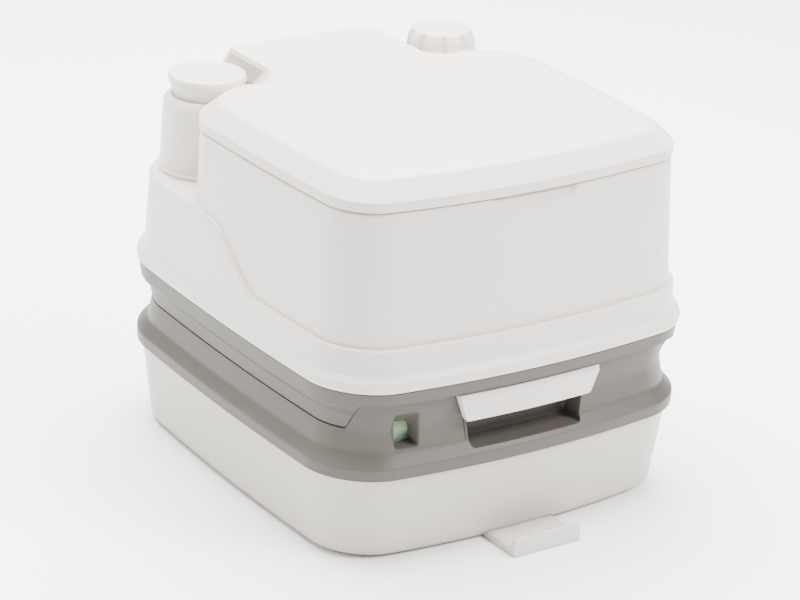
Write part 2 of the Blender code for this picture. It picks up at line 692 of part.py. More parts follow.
def flush_housing(white):
    """White outer shell of the flush tank, open underneath until the tray is welded on."""
    skirt = [(FLANGE, 2.4), (142.2, 0.6), (144.6, 0.0), (148.4, 1.0), (151.0, 3.4), (153.4, 5.4),
             (SHOULDER - 4.0, 8.2), (SHOULDER - 1.2, 9.2), (SHOULDER, 12.0)]
    shell = loft("flush_housing", stack(base_plan, skirt), white)
    slope = slope_cut("slope_outer", 0.0)
    boolean(shell, slope)
    tower = [ring(tower_plan(0, height), height) for height in (FLANGE + 12, CREASE, 225.0, TOWER_TOP - 1.0)]
    tower.append(ring(tower_plan(0.9), TOWER_TOP))
    boolean(shell, loft("tower", tower, cutter=True), 'UNION')
    filler_x, filler_y = filler_axis()
    column_low = FLANGE + 10
    column = rod("filler_column", (filler_x, filler_y, (TOWER_TOP + column_low) / 2), FILLER_RADIUS + 3.0,
                 TOWER_TOP - column_low, cutter=True, tip=FILLER_RADIUS, segments=40)
    boolean(shell, column, 'UNION')
    boolean(shell, pump_bay("pump_bay", 0.0))
    hollow_housing(shell)
    hinge_ears(shell)
    pump_hole = rod("pump_hole", (*pump_axis(), SHOULDER), CYLINDER_RADIUS + 0.5, 40, cutter=True)
    boolean(shell, pump_hole)
    neck = rod("filler_hole", (filler_x, filler_y, TOWER_TOP), FILLER_BORE, 40, cutter=True)
    boolean(shell, neck)
    notch = [(-39.4, TOWER_TOP + 4), (-33.4, TOWER_TOP - 7.8), (33.4, TOWER_TOP - 7.8),
             (39.4, TOWER_TOP + 4)]
    front = tower_front()
    boolean(shell, prism("finger_notch", notch, -front - 20, 4.6 - front, 'Y', cutter=True))
    return shell


def pump_bay(name, grow):
    """Hollow in the tower's rear corner that the pump housing stands in."""
    low = SHOULDER - grow
    high = SHOULDER + (TOWER_TOP - SHOULDER) * 1.3
    return rod(name, (*pump_axis(), (low + high) / 2), PUMP_RADIUS + 4.0 + grow, high - low, cutter=True,
               tip=PUMP_RADIUS + 0.2 + grow, segments=40)


def tower_front():
    return HALF_DEPTH - TOWER_FRONT_INSET


def hollow_housing(shell):
    """Water space inside the skirt, the tower and the filler column, and the seat recess."""
    inner = [(FLANGE - 9, 2.4 + WALL), (144.6, 3.6), (150.0, 4.6), (153.4, 5.4 + WALL),
             (SHOULDER - WALL - 2, 8.2 + WALL),
             (SHOULDER - WALL, 14.0)]
    space = loft("skirt_space", stack(base_plan, inner), cutter=True)
    boolean(space, slope_cut("slope_inner", WALL))
    boolean(shell, space)
    heights = (FLANGE + 6, CREASE + 0.5, 225.5, SEAT_DECK - WALL)
    tower = loft("tower_space", [ring(tower_plan(WALL, height), height) for height in heights], cutter=True)
    boolean(tower, pump_bay("pump_bay_wall", WALL))
    boolean(shell, tower)
    filler_x, filler_y = filler_axis()
    low = FLANGE + 5
    column = rod("column_space", (filler_x, filler_y, (TOWER_TOP - WALL + low) / 2),
                 FILLER_RADIUS + 3.0 - WALL,
                 TOWER_TOP - WALL - low, cutter=True, tip=FILLER_RADIUS - WALL, segments=40)
    boolean(shell, column)
    recess = loft("seat_recess",
                  [ring(tower_plan(RIM), SEAT_DECK), ring(tower_plan(RIM - 1), TOWER_TOP + 8)],
                  cutter=True)
    boolean(shell, recess)
    wide, long = BOWL_HALF_WIDTH + 4, BOWL_HALF_LENGTH + 4
    opening = [oval(wide, long, BOWL_Y, SEAT_DECK - 20, 40), oval(wide, long, BOWL_Y, SEAT_DECK + 20, 40)]
    boolean(shell, loft("bowl_opening", opening, cutter=True))


def ear_outline(front, low, radius):
    """Side view of a hinge ear: a finger from the rear wall with a round end on the hinge line."""
    end = [(HINGE_Y + radius * math.cos(t), HINGE_Z + radius * math.sin(t))
           for t in np.radians(np.linspace(-50, 90, 8))]
    return [(front, low), (TONGUE_REAR - 1.0, low), (TONGUE_REAR - 1.0, HINGE_Z - 5.5)] + end + \
        [(front, HINGE_Z + radius)]


def hinge_ears(shell):
    for side in (-1, 1):
        label = "l" if side < 0 else "r"
        ear = prism("ear_" + label, ear_outline(TONGUE_REAR - 7.0, SEAT_DECK + 2, LUG_RADIUS),
                    *sorted((side * 36.5, side * 46.0)), 'X', cutter=True)
        boolean(shell, ear, 'UNION')
    bore = rod("ear_bore", (0, HINGE_Y, HINGE_Z), PIN_RADIUS + 0.2, 120, 'X', cutter=True, segments=16)
    boolean(shell, bore)


def bowl(white, rubber):
    """Bowl: a hanging funnel with a flange on the seat deck and an outlet on the tray."""
    deck = SEAT_DECK + GAP
    foot = TRAY_FLOOR + WALL + GAP + 2.0 + GAP
    shape = [(foot, 0.0), (foot + 14, 0.03), (foot + 38, 0.30), (foot + 68, 0.62), (SEAT_DECK - 22, 0.93),
             (SEAT_DECK - 4, 0.99), (deck + 3.0, 1.0)]

    def section(part, grow, height):
        half_x = OUTLET_RADIUS + (BOWL_HALF_WIDTH - OUTLET_RADIUS) * part + grow
        half_y = OUTLET_RADIUS + (BOWL_HALF_LENGTH - OUTLET_RADIUS) * part + grow
        return oval(half_x, half_y, MOUTH_Y + (BOWL_Y - MOUTH_Y) * part, height, 40)

    inside = [section(part, 0.0, height) for height, part in shape]
    flange = [section(1.0, 10.0, deck + 3.0), section(1.0, 10.0, deck), section(1.0, 2.6, deck)]
    outside = [section(part, 2.6, height) for height, part in shape[1:-1]][::-1]
    ring_foot = [section(0.0, 2.8, foot + 3.0), section(0.0, 10.0, foot + 3.0), section(0.0, 10.0, foot)]
    made = loft("bowl", inside + flange + outside + ring_foot, white, endless=True)
    low = TRAY_FLOOR + WALL + GAP
    turned("bowl_gasket", [(OUTLET_RADIUS + 9, low + 2), (OUTLET_RADIUS + 9, low), (OUTLET_RADIUS, low),
                           (OUTLET_RADIUS, low + 2)], (0, MOUTH_Y, 0), rubber)
    port = rod("nozzle_port", (0, nozzle_y(), NOZZLE_Z), 7.2, 24, 'Y', cutter=True, segments=20)
    boolean(made, port)
    return made


def nozzle_y():
    return BOWL_Y + BOWL_HALF_LENGTH * 0.95


def pump_axis():
    return -(TONGUE_HALF + PUMP_RADIUS + PUMP_SIDE_ROOM), TOWER_REAR + PUMP_RADIUS + PUMP_FRONT_ROOM


def filler_axis():
    return TONGUE_HALF + FILLER_RADIUS + FILLER_SIDE_ROOM, TOWER_REAR + FILLER_RADIUS - FILLER_OVERLAP


def piston_pump(white, grey, steel, rubber):
    """Pull-up pump: housing on the shoulder, cylinder into the water, knob, rod and piston."""
    x, y = pump_axis()
    deck = SHOULDER + GAP
    bore = KNOB_RADIUS - 3.3
    wide = PUMP_RADIUS
    turned("pump_housing", [(bore, PUMP_TOP), (wide - 2.2, PUMP_TOP - 0.8), (wide - 0.5, PUMP_TOP - 3),
                            (wide, PUMP_TOP - 7), (wide + 2.2, deck + 3.2), (wide + 3.2, deck + 2.6),
                            (wide + 3.2, deck), (wide - 3.2, deck), (wide - 3.2, PUMP_TOP - 9),
                            (bore, PUMP_TOP - 6)], (x, y, 0), white, steps=40)
    tube = CYLINDER_RADIUS
    foot = FLANGE - 6
    turned("pump_cylinder",
           [(tube - 2.5, deck + 2.5), (wide - 4.0, deck + 2.5), (wide - 4.0, deck), (tube, deck),
                             (tube, foot), (tube - 2.5, foot)], (x, y, 0), white)
    knob_low = PUMP_TOP - 15
    neck = bore - 0.5
    roof = KNOB_TOP - 4.5
    turned("pump_knob",
           [(0.0, KNOB_TOP), (KNOB_RADIUS - 3.2, KNOB_TOP - 0.3), (KNOB_RADIUS - 1.2, KNOB_TOP - 1.4),
            (KNOB_RADIUS, KNOB_TOP - 5), (KNOB_RADIUS - 1.6, KNOB_TOP - 8), (neck, KNOB_TOP - 14.5),
            (neck, knob_low), (neck - 3, knob_low), (neck - 3, roof), (0.0, roof)],
           (x, y, 0), white, steps=40)
    piston_low = foot + 8
    rod_low = piston_low + 10.3
    rod("piston_rod", (x, y, (roof - GAP + rod_low) / 2), 4.0, roof - GAP - rod_low, 'Z', steel, (x, y, 0))
    disc = tube - 3.2
    turned("piston",
           [(0.0, piston_low + 10), (disc, piston_low + 10), (disc, piston_low + 7),
            (disc - 2.2, piston_low + 7), (disc - 2.2, piston_low + 3), (disc, piston_low + 3),
            (disc, piston_low), (0.0, piston_low)],
           (x, y, 0), grey)
    turned("piston_seal", [(tube - 2.7, piston_low + 6.4), (tube - 2.7, piston_low + 3.6),
                           (disc - 1.9, piston_low + 3.6), (disc - 1.9, piston_low + 6.4)], (x, y, 0),
                           rubber)
    turned("foot_valve", [(tube - 3.0, foot - GAP + 2.4), (tube - 3.0, foot - GAP), (tube, foot - GAP),
                          (tube, foot - 4), (5.0, foot - 4), (5.0, foot - GAP + 2.4)], (x, y, 0), grey)


def delivery_line(grey, dark):
    """Hose from the pump's foot to the fan nozzle at the back of the bowl."""
    x, y = pump_axis()
    start = Vector((x + CYLINDER_RADIUS + 1.0, y - 2, FLANGE + 12))
    tail = nozzle_y() + 14
    route = [start, Vector((x + 44, y - 2, FLANGE + 14)), Vector((x + 72, y - 8, FLANGE + 34)),
             Vector((-12, tail + 22, NOZZLE_Z - 34)), Vector((-1.5, tail + 18, NOZZLE_Z - 8)),
             Vector((0, tail + 9, NOZZLE_Z)), Vector((0, tail + 0.5, NOZZLE_Z))]
    path_tube("delivery_hose", smooth_route(route, 18), 4.5, 3.0, grey, sides=10)
    turned("flush_nozzle",
           [(6.0, -20.0), (6.9, -4.0), (6.9, 9.0), (5.0, 14.0), (3.0, 14.0), (3.0, -20.0)][::-1],
           (0, nozzle_y(), NOZZLE_Z), dark, 'Y', 20)


def smooth_route(points, count):
    """Catmull-Rom curve through the route's own points, sampled evenly in its parameter."""
    p = np.array([points[0] * 2 - points[1]] + points + [points[-1] * 2 - points[-2]], float)
    out = []
    for t in np.linspace(0, len(points) - 1, count):
        i = min(int(t), len(points) - 2)
        f = t - i
        a, b, c, d = p[i:i + 4]
        out.append(Vector(0.5 * (2 * b + (c - a) * f + (2 * a - 5 * b + 4 * c - d) * f ** 2
                                 + (3 * b - a - 3 * c + d) * f ** 3)))
    return out


def filler_cap(white, rubber):
    """Screwed filler cap with finger lobes, a plug that fits the neck and a flat gasket."""
    x, y = filler_axis()
    low = TOWER_TOP + GAP + 1.2
    count = FILLER_LOBES * 6
    turn = np.linspace(0, 2 * np.pi, count, endpoint=False)
    grip = 1 - np.clip(np.cos(turn * FILLER_LOBES), 0, 1)
    sections = []
    for height, radius, depth in ((low, 30.0, 0.0), (low + 5, 29.6, 1.6), (low + 17, 26.6, 2.6),
                                  (FILLER_CAP_TOP - 2.6, 24.6, 1.6), (FILLER_CAP_TOP - 0.8, 21.0, 0.3),
                                  (FILLER_CAP_TOP, 15.0, 0.0)):
        reach = radius - depth * (1 - grip)
        sections.append([Vector((x + r * math.cos(t), y + r * math.sin(t), height))
                         for r, t in zip(reach, turn)])
    cap = loft("filler_cap", sections, white, (x, y, low))
    plug = rod("cap_plug", (x, y, low - 2), FILLER_BORE - 0.7, 18, cutter=True, segments=32)
    boolean(cap, plug, 'UNION')
    turned("filler_gasket",
           [(28.5, low - GAP), (28.5, TOWER_TOP + GAP), (FILLER_BORE + 0.5, TOWER_TOP + GAP),
                             (FILLER_BORE + 0.5, low - GAP)], (x, y, 0), rubber)


def seat(white, rubber):
    """Seat ring inside the tower's recess, with two arms back to the hinge line."""
    outer_plan = tower_plan(RIM + 1.5)
    count = len(outer_plan)
    angles = np.arctan2(outer_plan[:, 1] - BOWL_Y, outer_plan[:, 0])
    limit = TOWER_REAR - RIM - 2.0

    def outer(inset, height):
        made = []
        for (px, py), turn in zip(outer_plan, angles):
            scale = 1.0
            if py > limit:
                scale = (limit - BOWL_Y) / (py - BOWL_Y)
            made.append(Vector((px * scale, BOWL_Y + (py - BOWL_Y) * scale, height))
                        - Vector((math.cos(turn), math.sin(turn), 0)) * inset)
        return made

    def inner(grow, height):
        half_x, half_y = BOWL_HALF_WIDTH + 2 + grow, BOWL_HALF_LENGTH - 6 + grow
        made = []
        for turn in angles:
            across, along = math.cos(turn), math.sin(turn)
            reach = half_x * half_y / math.hypot(half_y * across, half_x * along)
            made.append(Vector((reach * across, BOWL_Y + reach * along, height)))
        return made

    rings = [outer(0, SEAT_BOTTOM), outer(0, SEAT_TOP - 4), outer(3, SEAT_TOP - 0.6), outer(9, SEAT_TOP),
             inner(8, SEAT_TOP - 0.8), inner(1, SEAT_TOP - 4), inner(0, SEAT_BOTTOM)]
    origin = (0, HINGE_Y, HINGE_Z)
    ring_piece = loft("seat_ring", rings, white, origin, endless=True)
    for side in (-1, 1):
        label = "l" if side < 0 else "r"
        arm = [(limit - 14, SEAT_BOTTOM + 3), (limit + 12, SEAT_BOTTOM + 4),
               (TONGUE_REAR - 14, TOWER_TOP + 0.8),
               (HINGE_Y - 4, TOWER_TOP + 0.8)]
        eye = [(HINGE_Y + LUG_RADIUS * math.cos(t), HINGE_Z + LUG_RADIUS * math.sin(t))
               for t in np.radians(np.linspace(-60, 90, 8))]
        back = [(TONGUE_REAR - 8, HINGE_Z + 2), (limit + 8, SEAT_TOP - 1.6), (limit - 14, SEAT_TOP - 3.4)]
        solid = prism("seat_arm_" + label, arm + eye + back, *sorted((side * 23.0, side * 35.5)), 'X',
                      cutter=True)
        boolean(ring_piece, solid, 'UNION')
    bore = rod("seat_bore", origin, PIN_RADIUS + 0.2, 100, 'X', cutter=True, segments=16)
    boolean(ring_piece, bore)
    low, high = SEAT_DECK + GAP, SEAT_BOTTOM - GAP
    front, rear = (HALF_WIDTH - 79.6, 54.5 - HALF_DEPTH), (HALF_WIDTH - 59.6, TOWER_REAR - 44.5)
    for side, label in ((-1, "left"), (1, "right")):
        for end, (x, y) in (("front_", front), ("rear_", rear)):
            rod("seat_bumper_" + end + label, (side * x, y, (low + high) / 2), 5.0, high - low, 'Z',
                rubber, segments=16)
    return ring_piece


def lid_plan(inset, tongue_in):
    return tower_plan(inset, TOWER_TOP, LID_TONGUE_REAR + inset * 0.8 - tongue_in * 0.2,
                      TONGUE_HALF + 4.0 + inset - tongue_in)


def lid(white, rubber):
    """Lid: an open-bottomed shell that covers the seat and runs back over the hinge."""
    outer = [(LID_RIM, -0.7, 0.0), (LID_BAND - 0.8, -0.9, 0.2), (LID_BAND, -0.2, 0.6), (290.4, 6.2, 2.6),
             (296.6, 11.4, 4.6), (LID_TOP - 0.6, 13.8, 5.6), (LID_TOP, 17.5, 7.6)]
    inner = [(LID_TOP - WALL, 17.5, 9.8), (LID_TOP - WALL - 1.4, 15.2, 8.6), (289.2, 9.4, 6.0),
             (LID_BAND + 0.2, 3.0, 4.0), (LID_RIM, 2.3, 3.2)]
    sections = [ring(lid_plan(inset, tongue), height) for height, inset, tongue in outer[::-1] + inner[::-1]]
    origin = (0, HINGE_Y, HINGE_Z)
    shell = loft("lid_shell", sections, white, origin)
    for side in (-1, 1):
        label = "l" if side < 0 else "r"
        window = box("hinge_window_" + label, (min(side * 21.5, side * 48.0), HINGE_Y + 3, LID_RIM - 6),
                     (max(side * 21.5, side * 48.0), LID_TONGUE_REAR + 9, HINGE_Z + LUG_RADIUS + 1.5),
                     cutter=True)
        boolean(shell, window)
        end = [(HINGE_Y + LUG_RADIUS * math.cos(t), HINGE_Z + LUG_RADIUS * math.sin(t))
               for t in np.radians(np.linspace(180, 360, 9))]
        lug = prism("lid_lug_" + label, end + [(HINGE_Y + LUG_RADIUS, LID_TOP - WALL + 1),
                    (HINGE_Y - LUG_RADIUS, LID_TOP - WALL + 1)], *sorted((side * 49.0, side * 57.5)),
                    'X', cutter=True)
        boolean(shell, lug, 'UNION')
        spot = (side * 112, BOWL_FRONT + 38, (SEAT_TOP + LID_TOP - WALL) / 2)
        rod("lid_buffer_" + ("left" if side < 0 else "right"), spot, 4.5,
            LID_TOP - WALL - SEAT_TOP - 2 * GAP, 'Z', rubber, (spot[0], spot[1], 0), segments=16)
    bore = rod("lid_bore", origin, PIN_RADIUS + 0.2, 120, 'X', cutter=True, segments=16)
    boolean(shell, bore)
    return shell


def hinge_pins(steel):
    for side, label in ((-1, "left"), (1, "right")):
        centre = (side * 40.5, HINGE_Y, HINGE_Z)
        rod("hinge_pin_" + label, centre, PIN_RADIUS, 36.0, 'X', steel, centre, segments=16)


def build():
    global PARTS, CUTTERS
    clear_scene()
    PARTS = new_collection("portable_toilet")
    CUTTERS = new_collection("cutters")
    white = plastic("white_polyethylene", (0.78, 0.76, 0.73), 0.38)
    grey = plastic("grey_polyethylene", (0.36, 0.34, 0.31), 0.45)
    dark = plastic("dark_grey_plastic", (0.08, 0.08, 0.08), 0.5)
    green = plastic("green_plastic", (0.13, 0.30, 0.05), 0.35)
    clear = plastic("clear_acrylic", (0.85, 0.87, 0.86), 0.08)
    rubber = plastic("black_rubber", (0.02, 0.02, 0.02), 0.8)
    steel = plastic("stainless_steel", (0.6, 0.6, 0.6), 0.3, 1.0)
    tank_tub(white)
    tank_top(grey)
    slide_valve(dark, grey, white, rubber)
    level_gauge(green, clear, grey, white)
    pour_spout(grey, dark, rubber)
    vent_valve(green, rubber)
    hold_down_bracket(white, -1, "front")
    hold_down_bracket(white, 1, "rear")
    base_tray(grey)
    rear_latch(grey, steel)
    flush_housing(white)
    bowl(white, rubber)
    piston_pump(white, grey, steel, rubber)
    delivery_line(grey, dark)
    filler_cap(white, rubber)
    seat(white, rubber)
    lid(white, rubber)
    hinge_pins(steel)


build()
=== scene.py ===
"""Portable flush toilet in two halves: a waste tank with a slide valve below, and a
flush-water tank with bowl, pump, seat and lid above. Sizes are in millimetres and
become metres where a mesh is made. +Z is up and the front faces -Y."""
import math

import bmesh
import bpy
import numpy as np
from mathutils import Matrix, Vector


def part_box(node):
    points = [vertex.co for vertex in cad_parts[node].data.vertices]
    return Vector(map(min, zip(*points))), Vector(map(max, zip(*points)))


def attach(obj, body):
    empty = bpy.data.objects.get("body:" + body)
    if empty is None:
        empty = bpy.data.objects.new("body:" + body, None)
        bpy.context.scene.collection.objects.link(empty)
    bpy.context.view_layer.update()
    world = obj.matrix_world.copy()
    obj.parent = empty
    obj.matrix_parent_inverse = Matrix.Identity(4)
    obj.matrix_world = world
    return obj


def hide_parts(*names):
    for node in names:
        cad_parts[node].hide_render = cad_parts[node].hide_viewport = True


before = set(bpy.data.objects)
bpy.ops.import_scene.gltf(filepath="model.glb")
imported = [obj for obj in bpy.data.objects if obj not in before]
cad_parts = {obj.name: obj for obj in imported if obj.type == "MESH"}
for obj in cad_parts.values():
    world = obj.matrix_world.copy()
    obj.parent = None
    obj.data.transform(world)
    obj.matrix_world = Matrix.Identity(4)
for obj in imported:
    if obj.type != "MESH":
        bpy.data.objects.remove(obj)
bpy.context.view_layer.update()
MM = 0.001
SHARP = 38


def placed(name, data):
    """A new object for some data, linked into the scene."""
    made = bpy.data.objects.new(name, data)
    bpy.context.scene.collection.objects.link(made)
    return made


# ---------------------------------------------------------------- camera
# A long lens stands left of the front and a little above, rolled by under three degrees.

VIEW_YAW = -0.599017
VIEW_PITCH = 0.395078
VIEW_ROLL = 0.049466
VIEW_DISTANCE = 2218.28
AIM_HEIGHT = 150.0
AIM_LEFT, AIM_DOWN = 0.237, 24.229
LENS = 124.99
SENSOR = 36.0
back = Vector((math.sin(VIEW_YAW) * math.cos(VIEW_PITCH), -math.cos(VIEW_YAW) * math.cos(VIEW_PITCH),
               math.sin(VIEW_PITCH)))
level = Vector((math.cos(VIEW_YAW), math.sin(VIEW_YAW), 0))
lift = back.cross(level)
right = level * math.cos(VIEW_ROLL) + lift * math.sin(VIEW_ROLL)
up = lift * math.cos(VIEW_ROLL) - level * math.sin(VIEW_ROLL)
target = Vector((0, 0, AIM_HEIGHT)) - right * AIM_LEFT - up * AIM_DOWN
lens = bpy.data.cameras.new("view")
lens.lens = LENS
lens.sensor_width = SENSOR
camera = placed("view", lens)
turn = Matrix((right, up, back)).transposed().to_4x4()
camera.matrix_world = Matrix.Translation((target + back * VIEW_DISTANCE) * MM) @ turn
bpy.context.scene.camera = camera


# ---------------------------------------------------------------- floor and light
# A seamless white studio floor, a broad overhead panel, a smaller one in front at the
# right, and a weak one at the left.

def linear(colour):
    """Linear RGB from an sRGB hex value: each channel through the standard sRGB curve."""
    parts = np.array([int(colour[i:i + 2], 16) for i in (1, 3, 5)]) / 255
    low = parts <= 0.04045
    return (*np.where(low, parts / 12.92, ((parts + 0.055) / 1.055) ** 2.4), 1.0)


def add(tree, kind, values=None, links=None, **settings):
    """One shader node with its settings, its socket values and its incoming links."""
    made = tree.nodes.new(kind)
    for key, value in settings.items():
        setattr(made, key, value)
    for key, value in (values or {}).items():
        made.inputs[key].default_value = value
    for key, source in (links or {}).items():
        tree.links.new(source, made.inputs[key])
    return made


def blank_material(name):
    """A new material with its node tree, its shader and its object coordinates."""
    made = bpy.data.materials.new(name)
    made.use_nodes = True
    tree = made.node_tree
    place = add(tree, "ShaderNodeTexCoord").outputs["Object"]
    return made, tree, tree.nodes["Principled BSDF"], place


def noise(tree, place, scale, detail=2.0):
    """Noise texture over the object's own coordinates."""
    return add(tree, "ShaderNodeTexNoise", {"Scale": scale, "Detail": detail}, {"Vector": place})


def vary_tint(tree, shader, cloud, low, high, span=(0.0, 1.0)):
    """Base colour that goes from one colour to another as a noise goes through a span."""
    tint = add(tree, "ShaderNodeValToRGB", links={"Fac": cloud.outputs["Fac"]})
    for stop, position, colour in zip(tint.color_ramp.elements, span, (low, high)):
        stop.position = position
        stop.color = colour
    tree.links.new(tint.outputs["Color"], shader.inputs["Base Color"])


def vary_gloss(tree, shader, cloud, low, high):
    """Roughness that follows a noise between two values."""
    gloss = add(tree, "ShaderNodeMapRange", {"To Min": low, "To Max": high}, {"Value": cloud.outputs["Fac"]})
    tree.links.new(gloss.outputs["Result"], shader.inputs["Roughness"])


def studio_floor():
    """Matt white paint, very slightly mottled so that the shadow falls on something real."""
    made, tree, shader, place = blank_material("floor_matt_white_paint")
    vary_tint(tree, shader, noise(tree, place, 3.0), linear("#f2f2f2"), linear("#f6f6f6"))
    shader.inputs["Roughness"].default_value = 0.9
    shader.inputs["Specular IOR Level"].default_value = 0.1
    return made


FLOOR_REACH, FLOOR_LEVEL = 12.0, -0.0005
floor_mesh = bpy.data.meshes.new("studio_floor")
floor_mesh.from_pydata([(x * FLOOR_REACH, y * FLOOR_REACH, FLOOR_LEVEL)
                        for x, y in ((-1, -1), (1, -1), (1, 1), (-1, 1))], [], [(0, 1, 2, 3)])
floor_mesh.materials.append(studio_floor())
placed("studio_floor", floor_mesh)

SKY = 0.6
world = bpy.data.worlds.new("studio")
world.use_nodes = True
world.node_tree.nodes["Background"].inputs["Color"].default_value = linear("#ffffff")
world.node_tree.nodes["Background"].inputs["Strength"].default_value = SKY
bpy.context.scene.world = world


def light_panel(name, place, aim, size, power):
    """A soft square white panel that faces a point: metres and watts."""
    data = bpy.data.lights.new(name, 'AREA')
    data.shape = 'RECTANGLE'
    data.size = data.size_y = size
    data.energy = power
    made = placed(name, data)
    made.location = place
    made.rotation_euler = (Vector(place) - Vector(aim)).to_track_quat('Z', 'Y').to_euler()


light_panel("overhead_panel", (0.1, 0.5, 1.9), (0, 0, 0.1), 2.0, 310)
light_panel("front_panel", (1.3, -1.9, 2.2), (0, 0, 0.2), 1.2, 165)
light_panel("left_panel", (-2.6, 1.2, 1.1), (0, 0, 0.2), 1.2, 50)


# ---------------------------------------------------------------- waste tank tub
# Blow-moulded white polyethylene tub, the lower half of the waste tank. Its wall is
# tucked inside the grey half's lap and welded there. Two tongue pockets face the floor
# brackets, and a notch at the rear clears the pour-out spout.

HALF_WIDTH = 171.6
HALF_DEPTH = 192.5
SIDE_BOW = 6.0
FRONT_BOW = 15.0
FRONT_CORNER = 45.0
REAR_CORNER = 63.0
WALL = 3.0
NOTCH_HALF_TOP = 39.4
NOTCH_HALF_LOW = 33.4


def outline_weights():
    """Weights of half width, half depth and the two corner radii for each point of a
    rounded rectangle, from the front's middle round the right side to the rear's
    middle: straight, quarter turn, straight, quarter turn, straight. The front's
    points stand closer between the shares at which the finger notch's side lies."""
    front = np.concatenate([np.linspace(0, 0.27, 9)[:-1], np.linspace(0.27, 0.33, 5)[:-1],
                            np.linspace(0.33, 1, 15)[:-1]])
    nose = np.radians(np.linspace(-90, 0, 31))[:-1]
    side = np.linspace(0, 1, 41)[:-1]
    heel = np.radians(np.linspace(0, 90, 29))[:-1]
    rear = np.linspace(0, 1, 15)
    one, none = np.ones_like, np.zeros_like
    x = np.concatenate([
        np.stack([front, -front, none(front)]), np.stack([one(nose), np.cos(nose) - 1, none(nose)]),
        np.stack([one(side), none(side), none(side)]),
        np.stack([one(heel), none(heel), np.cos(heel) - 1]),
        np.stack([1 - rear, none(rear), rear - 1])], axis=1)
    y = np.concatenate([
        np.stack([-one(front), none(front), none(front)]),
        np.stack([-one(nose), 1 + np.sin(nose), none(nose)]),
        np.stack([2 * side - 1, 1 - side, -side]),
        np.stack([one(heel), none(heel), np.sin(heel) - 1]),
        np.stack([one(rear), none(rear), none(rear)])], axis=1)
    return np.concatenate([x, x[:, -2:0:-1] * -1], axis=1), np.concatenate([y, y[:, -2:0:-1]], axis=1)


ACROSS, ALONG = outline_weights()


def bowed(x, y, half, depth, corner):
    """Outline points pushed outwards by a parabola along each side, which fades out
    round the corners: y grows by FRONT_BOW (1 - (x/half)^2), x by SIDE_BOW (1 - (y/depth)^2)."""
    end = np.clip(np.abs(y) / (depth - corner), 0, 1) ** 2
    side = np.clip(np.abs(x) / (half - corner), 0, 1) ** 2
    out_y = y + np.sign(y) * FRONT_BOW * np.clip(1 - (x / half) ** 2, 0, 1) * end
    out_x = x + np.sign(x) * SIDE_BOW * np.clip(1 - (y / depth) ** 2, 0, 1) * side
    return out_x, out_y


def footprint(inset):
    """Plan outline of the tanks at one inset, or at an array of insets that broadcasts
    against the outline's points: (..., points) arrays of x and y."""
    inset = np.asarray(inset, float)
    half = HALF_WIDTH - SIDE_BOW - inset
    depth = HALF_DEPTH - FRONT_BOW - inset
    front = np.maximum(FRONT_CORNER - inset / 2, 3)
    rear = np.maximum(REAR_CORNER - inset / 2, 3)
    x = ACROSS[0] * half + ACROSS[1] * front + ACROSS[2] * rear
    y = ALONG[0] * depth + ALONG[1] * front + ALONG[2] * rear
    return bowed(x, y, half, depth, front)


def soften(corners, turns=7):
    """Path through (a, b, radius) corners in which each inner corner becomes a
    parabola tangent to both its sides, with a guard point beside it on long sides."""
    path = np.array([corner[:2] for corner in corners], float)
    radii = [corner[2] if len(corner) > 2 else 0 for corner in corners]
    out = [path[:1]]
    for i in range(1, len(path) - 1):
        before, after = path[i - 1] - path[i], path[i + 1] - path[i]
        near, far = np.hypot(*before), np.hypot(*after)
        before, after = before / near, after / far
        bend = math.acos(np.clip(-before @ after, -1, 1))
        reach = min(radii[i] * math.tan(bend / 2), 0.46 * near, 0.46 * far)
        if reach < 0.01:
            out.append(path[i:i + 1])
            continue
        t = np.linspace(0, 1, turns)[:, None]
        first, last = path[i] + before * reach, path[i] + after * reach
        curve = (1 - t) ** 2 * first + 2 * t * (1 - t) * path[i] + t ** 2 * last
        if near > 4 * reach:
            out.append((first + before * min(reach, 1.0))[None])
        out.append(curve)
        if far > 4 * reach:
            out.append((last + after * min(reach, 1.0))[None])
    out.append(path[-1:])
    return np.concatenate(out)


def skin(name, grid, wrap=False, caps=True, sharp=SHARP):
    """Mesh object from an (rows, points, 3) array in millimetres: a quad between each
    four neighbours, closed round each row, and either the last row joined to the first
    or both ends capped. Doubled points at poles are merged and faces turned outwards."""
    rows, count = grid.shape[:2]
    index = np.arange(rows * count).reshape(rows, count)
    after = np.roll(index, -1, axis=1)
    low, high = (index, np.roll(index, -1, axis=0)) if wrap else (index[:-1], index[1:])
    low_after = after if wrap else after[:-1]
    high_after = np.roll(after, -1, axis=0) if wrap else after[1:]
    faces = np.stack([low, low_after, high_after, high], axis=-1).reshape(-1, 4).tolist()
    if caps and not wrap:
        faces += [index[0][::-1].tolist(), index[-1].tolist()]
    mesh = bpy.data.meshes.new(name)
    mesh.from_pydata((grid.reshape(-1, 3) * MM).tolist(), [], faces)
    bm = bmesh.new()
    bm.from_mesh(mesh)
    bmesh.ops.remove_doubles(bm, verts=bm.verts, dist=1e-6)
    bmesh.ops.recalc_face_normals(bm, faces=bm.faces)
    bm.to_mesh(mesh)
    bm.free()
    mesh.shade_smooth()
    mesh.set_sharp_from_angle(angle=math.radians(sharp))
    return placed(name, mesh)


def rise(plan, path):
    """Grid of a closed plan carried up a path of (height, inset) points."""
    inset = path[:, 1:2]
    x, y = plan(inset)
    return np.stack([x, y, np.broadcast_to(path[:, :1], x.shape)], axis=-1)


def bake(piece, sharp):
    """Turns a piece's modifiers into its mesh, smooth but for edges sharper than an angle."""
    graph = bpy.context.evaluated_depsgraph_get()
    mesh = bpy.data.meshes.new_from_object(piece.evaluated_get(graph))
    piece.modifiers.clear()
    piece.data = mesh
    mesh.shade_smooth()
    mesh.set_sharp_from_angle(angle=math.radians(sharp))


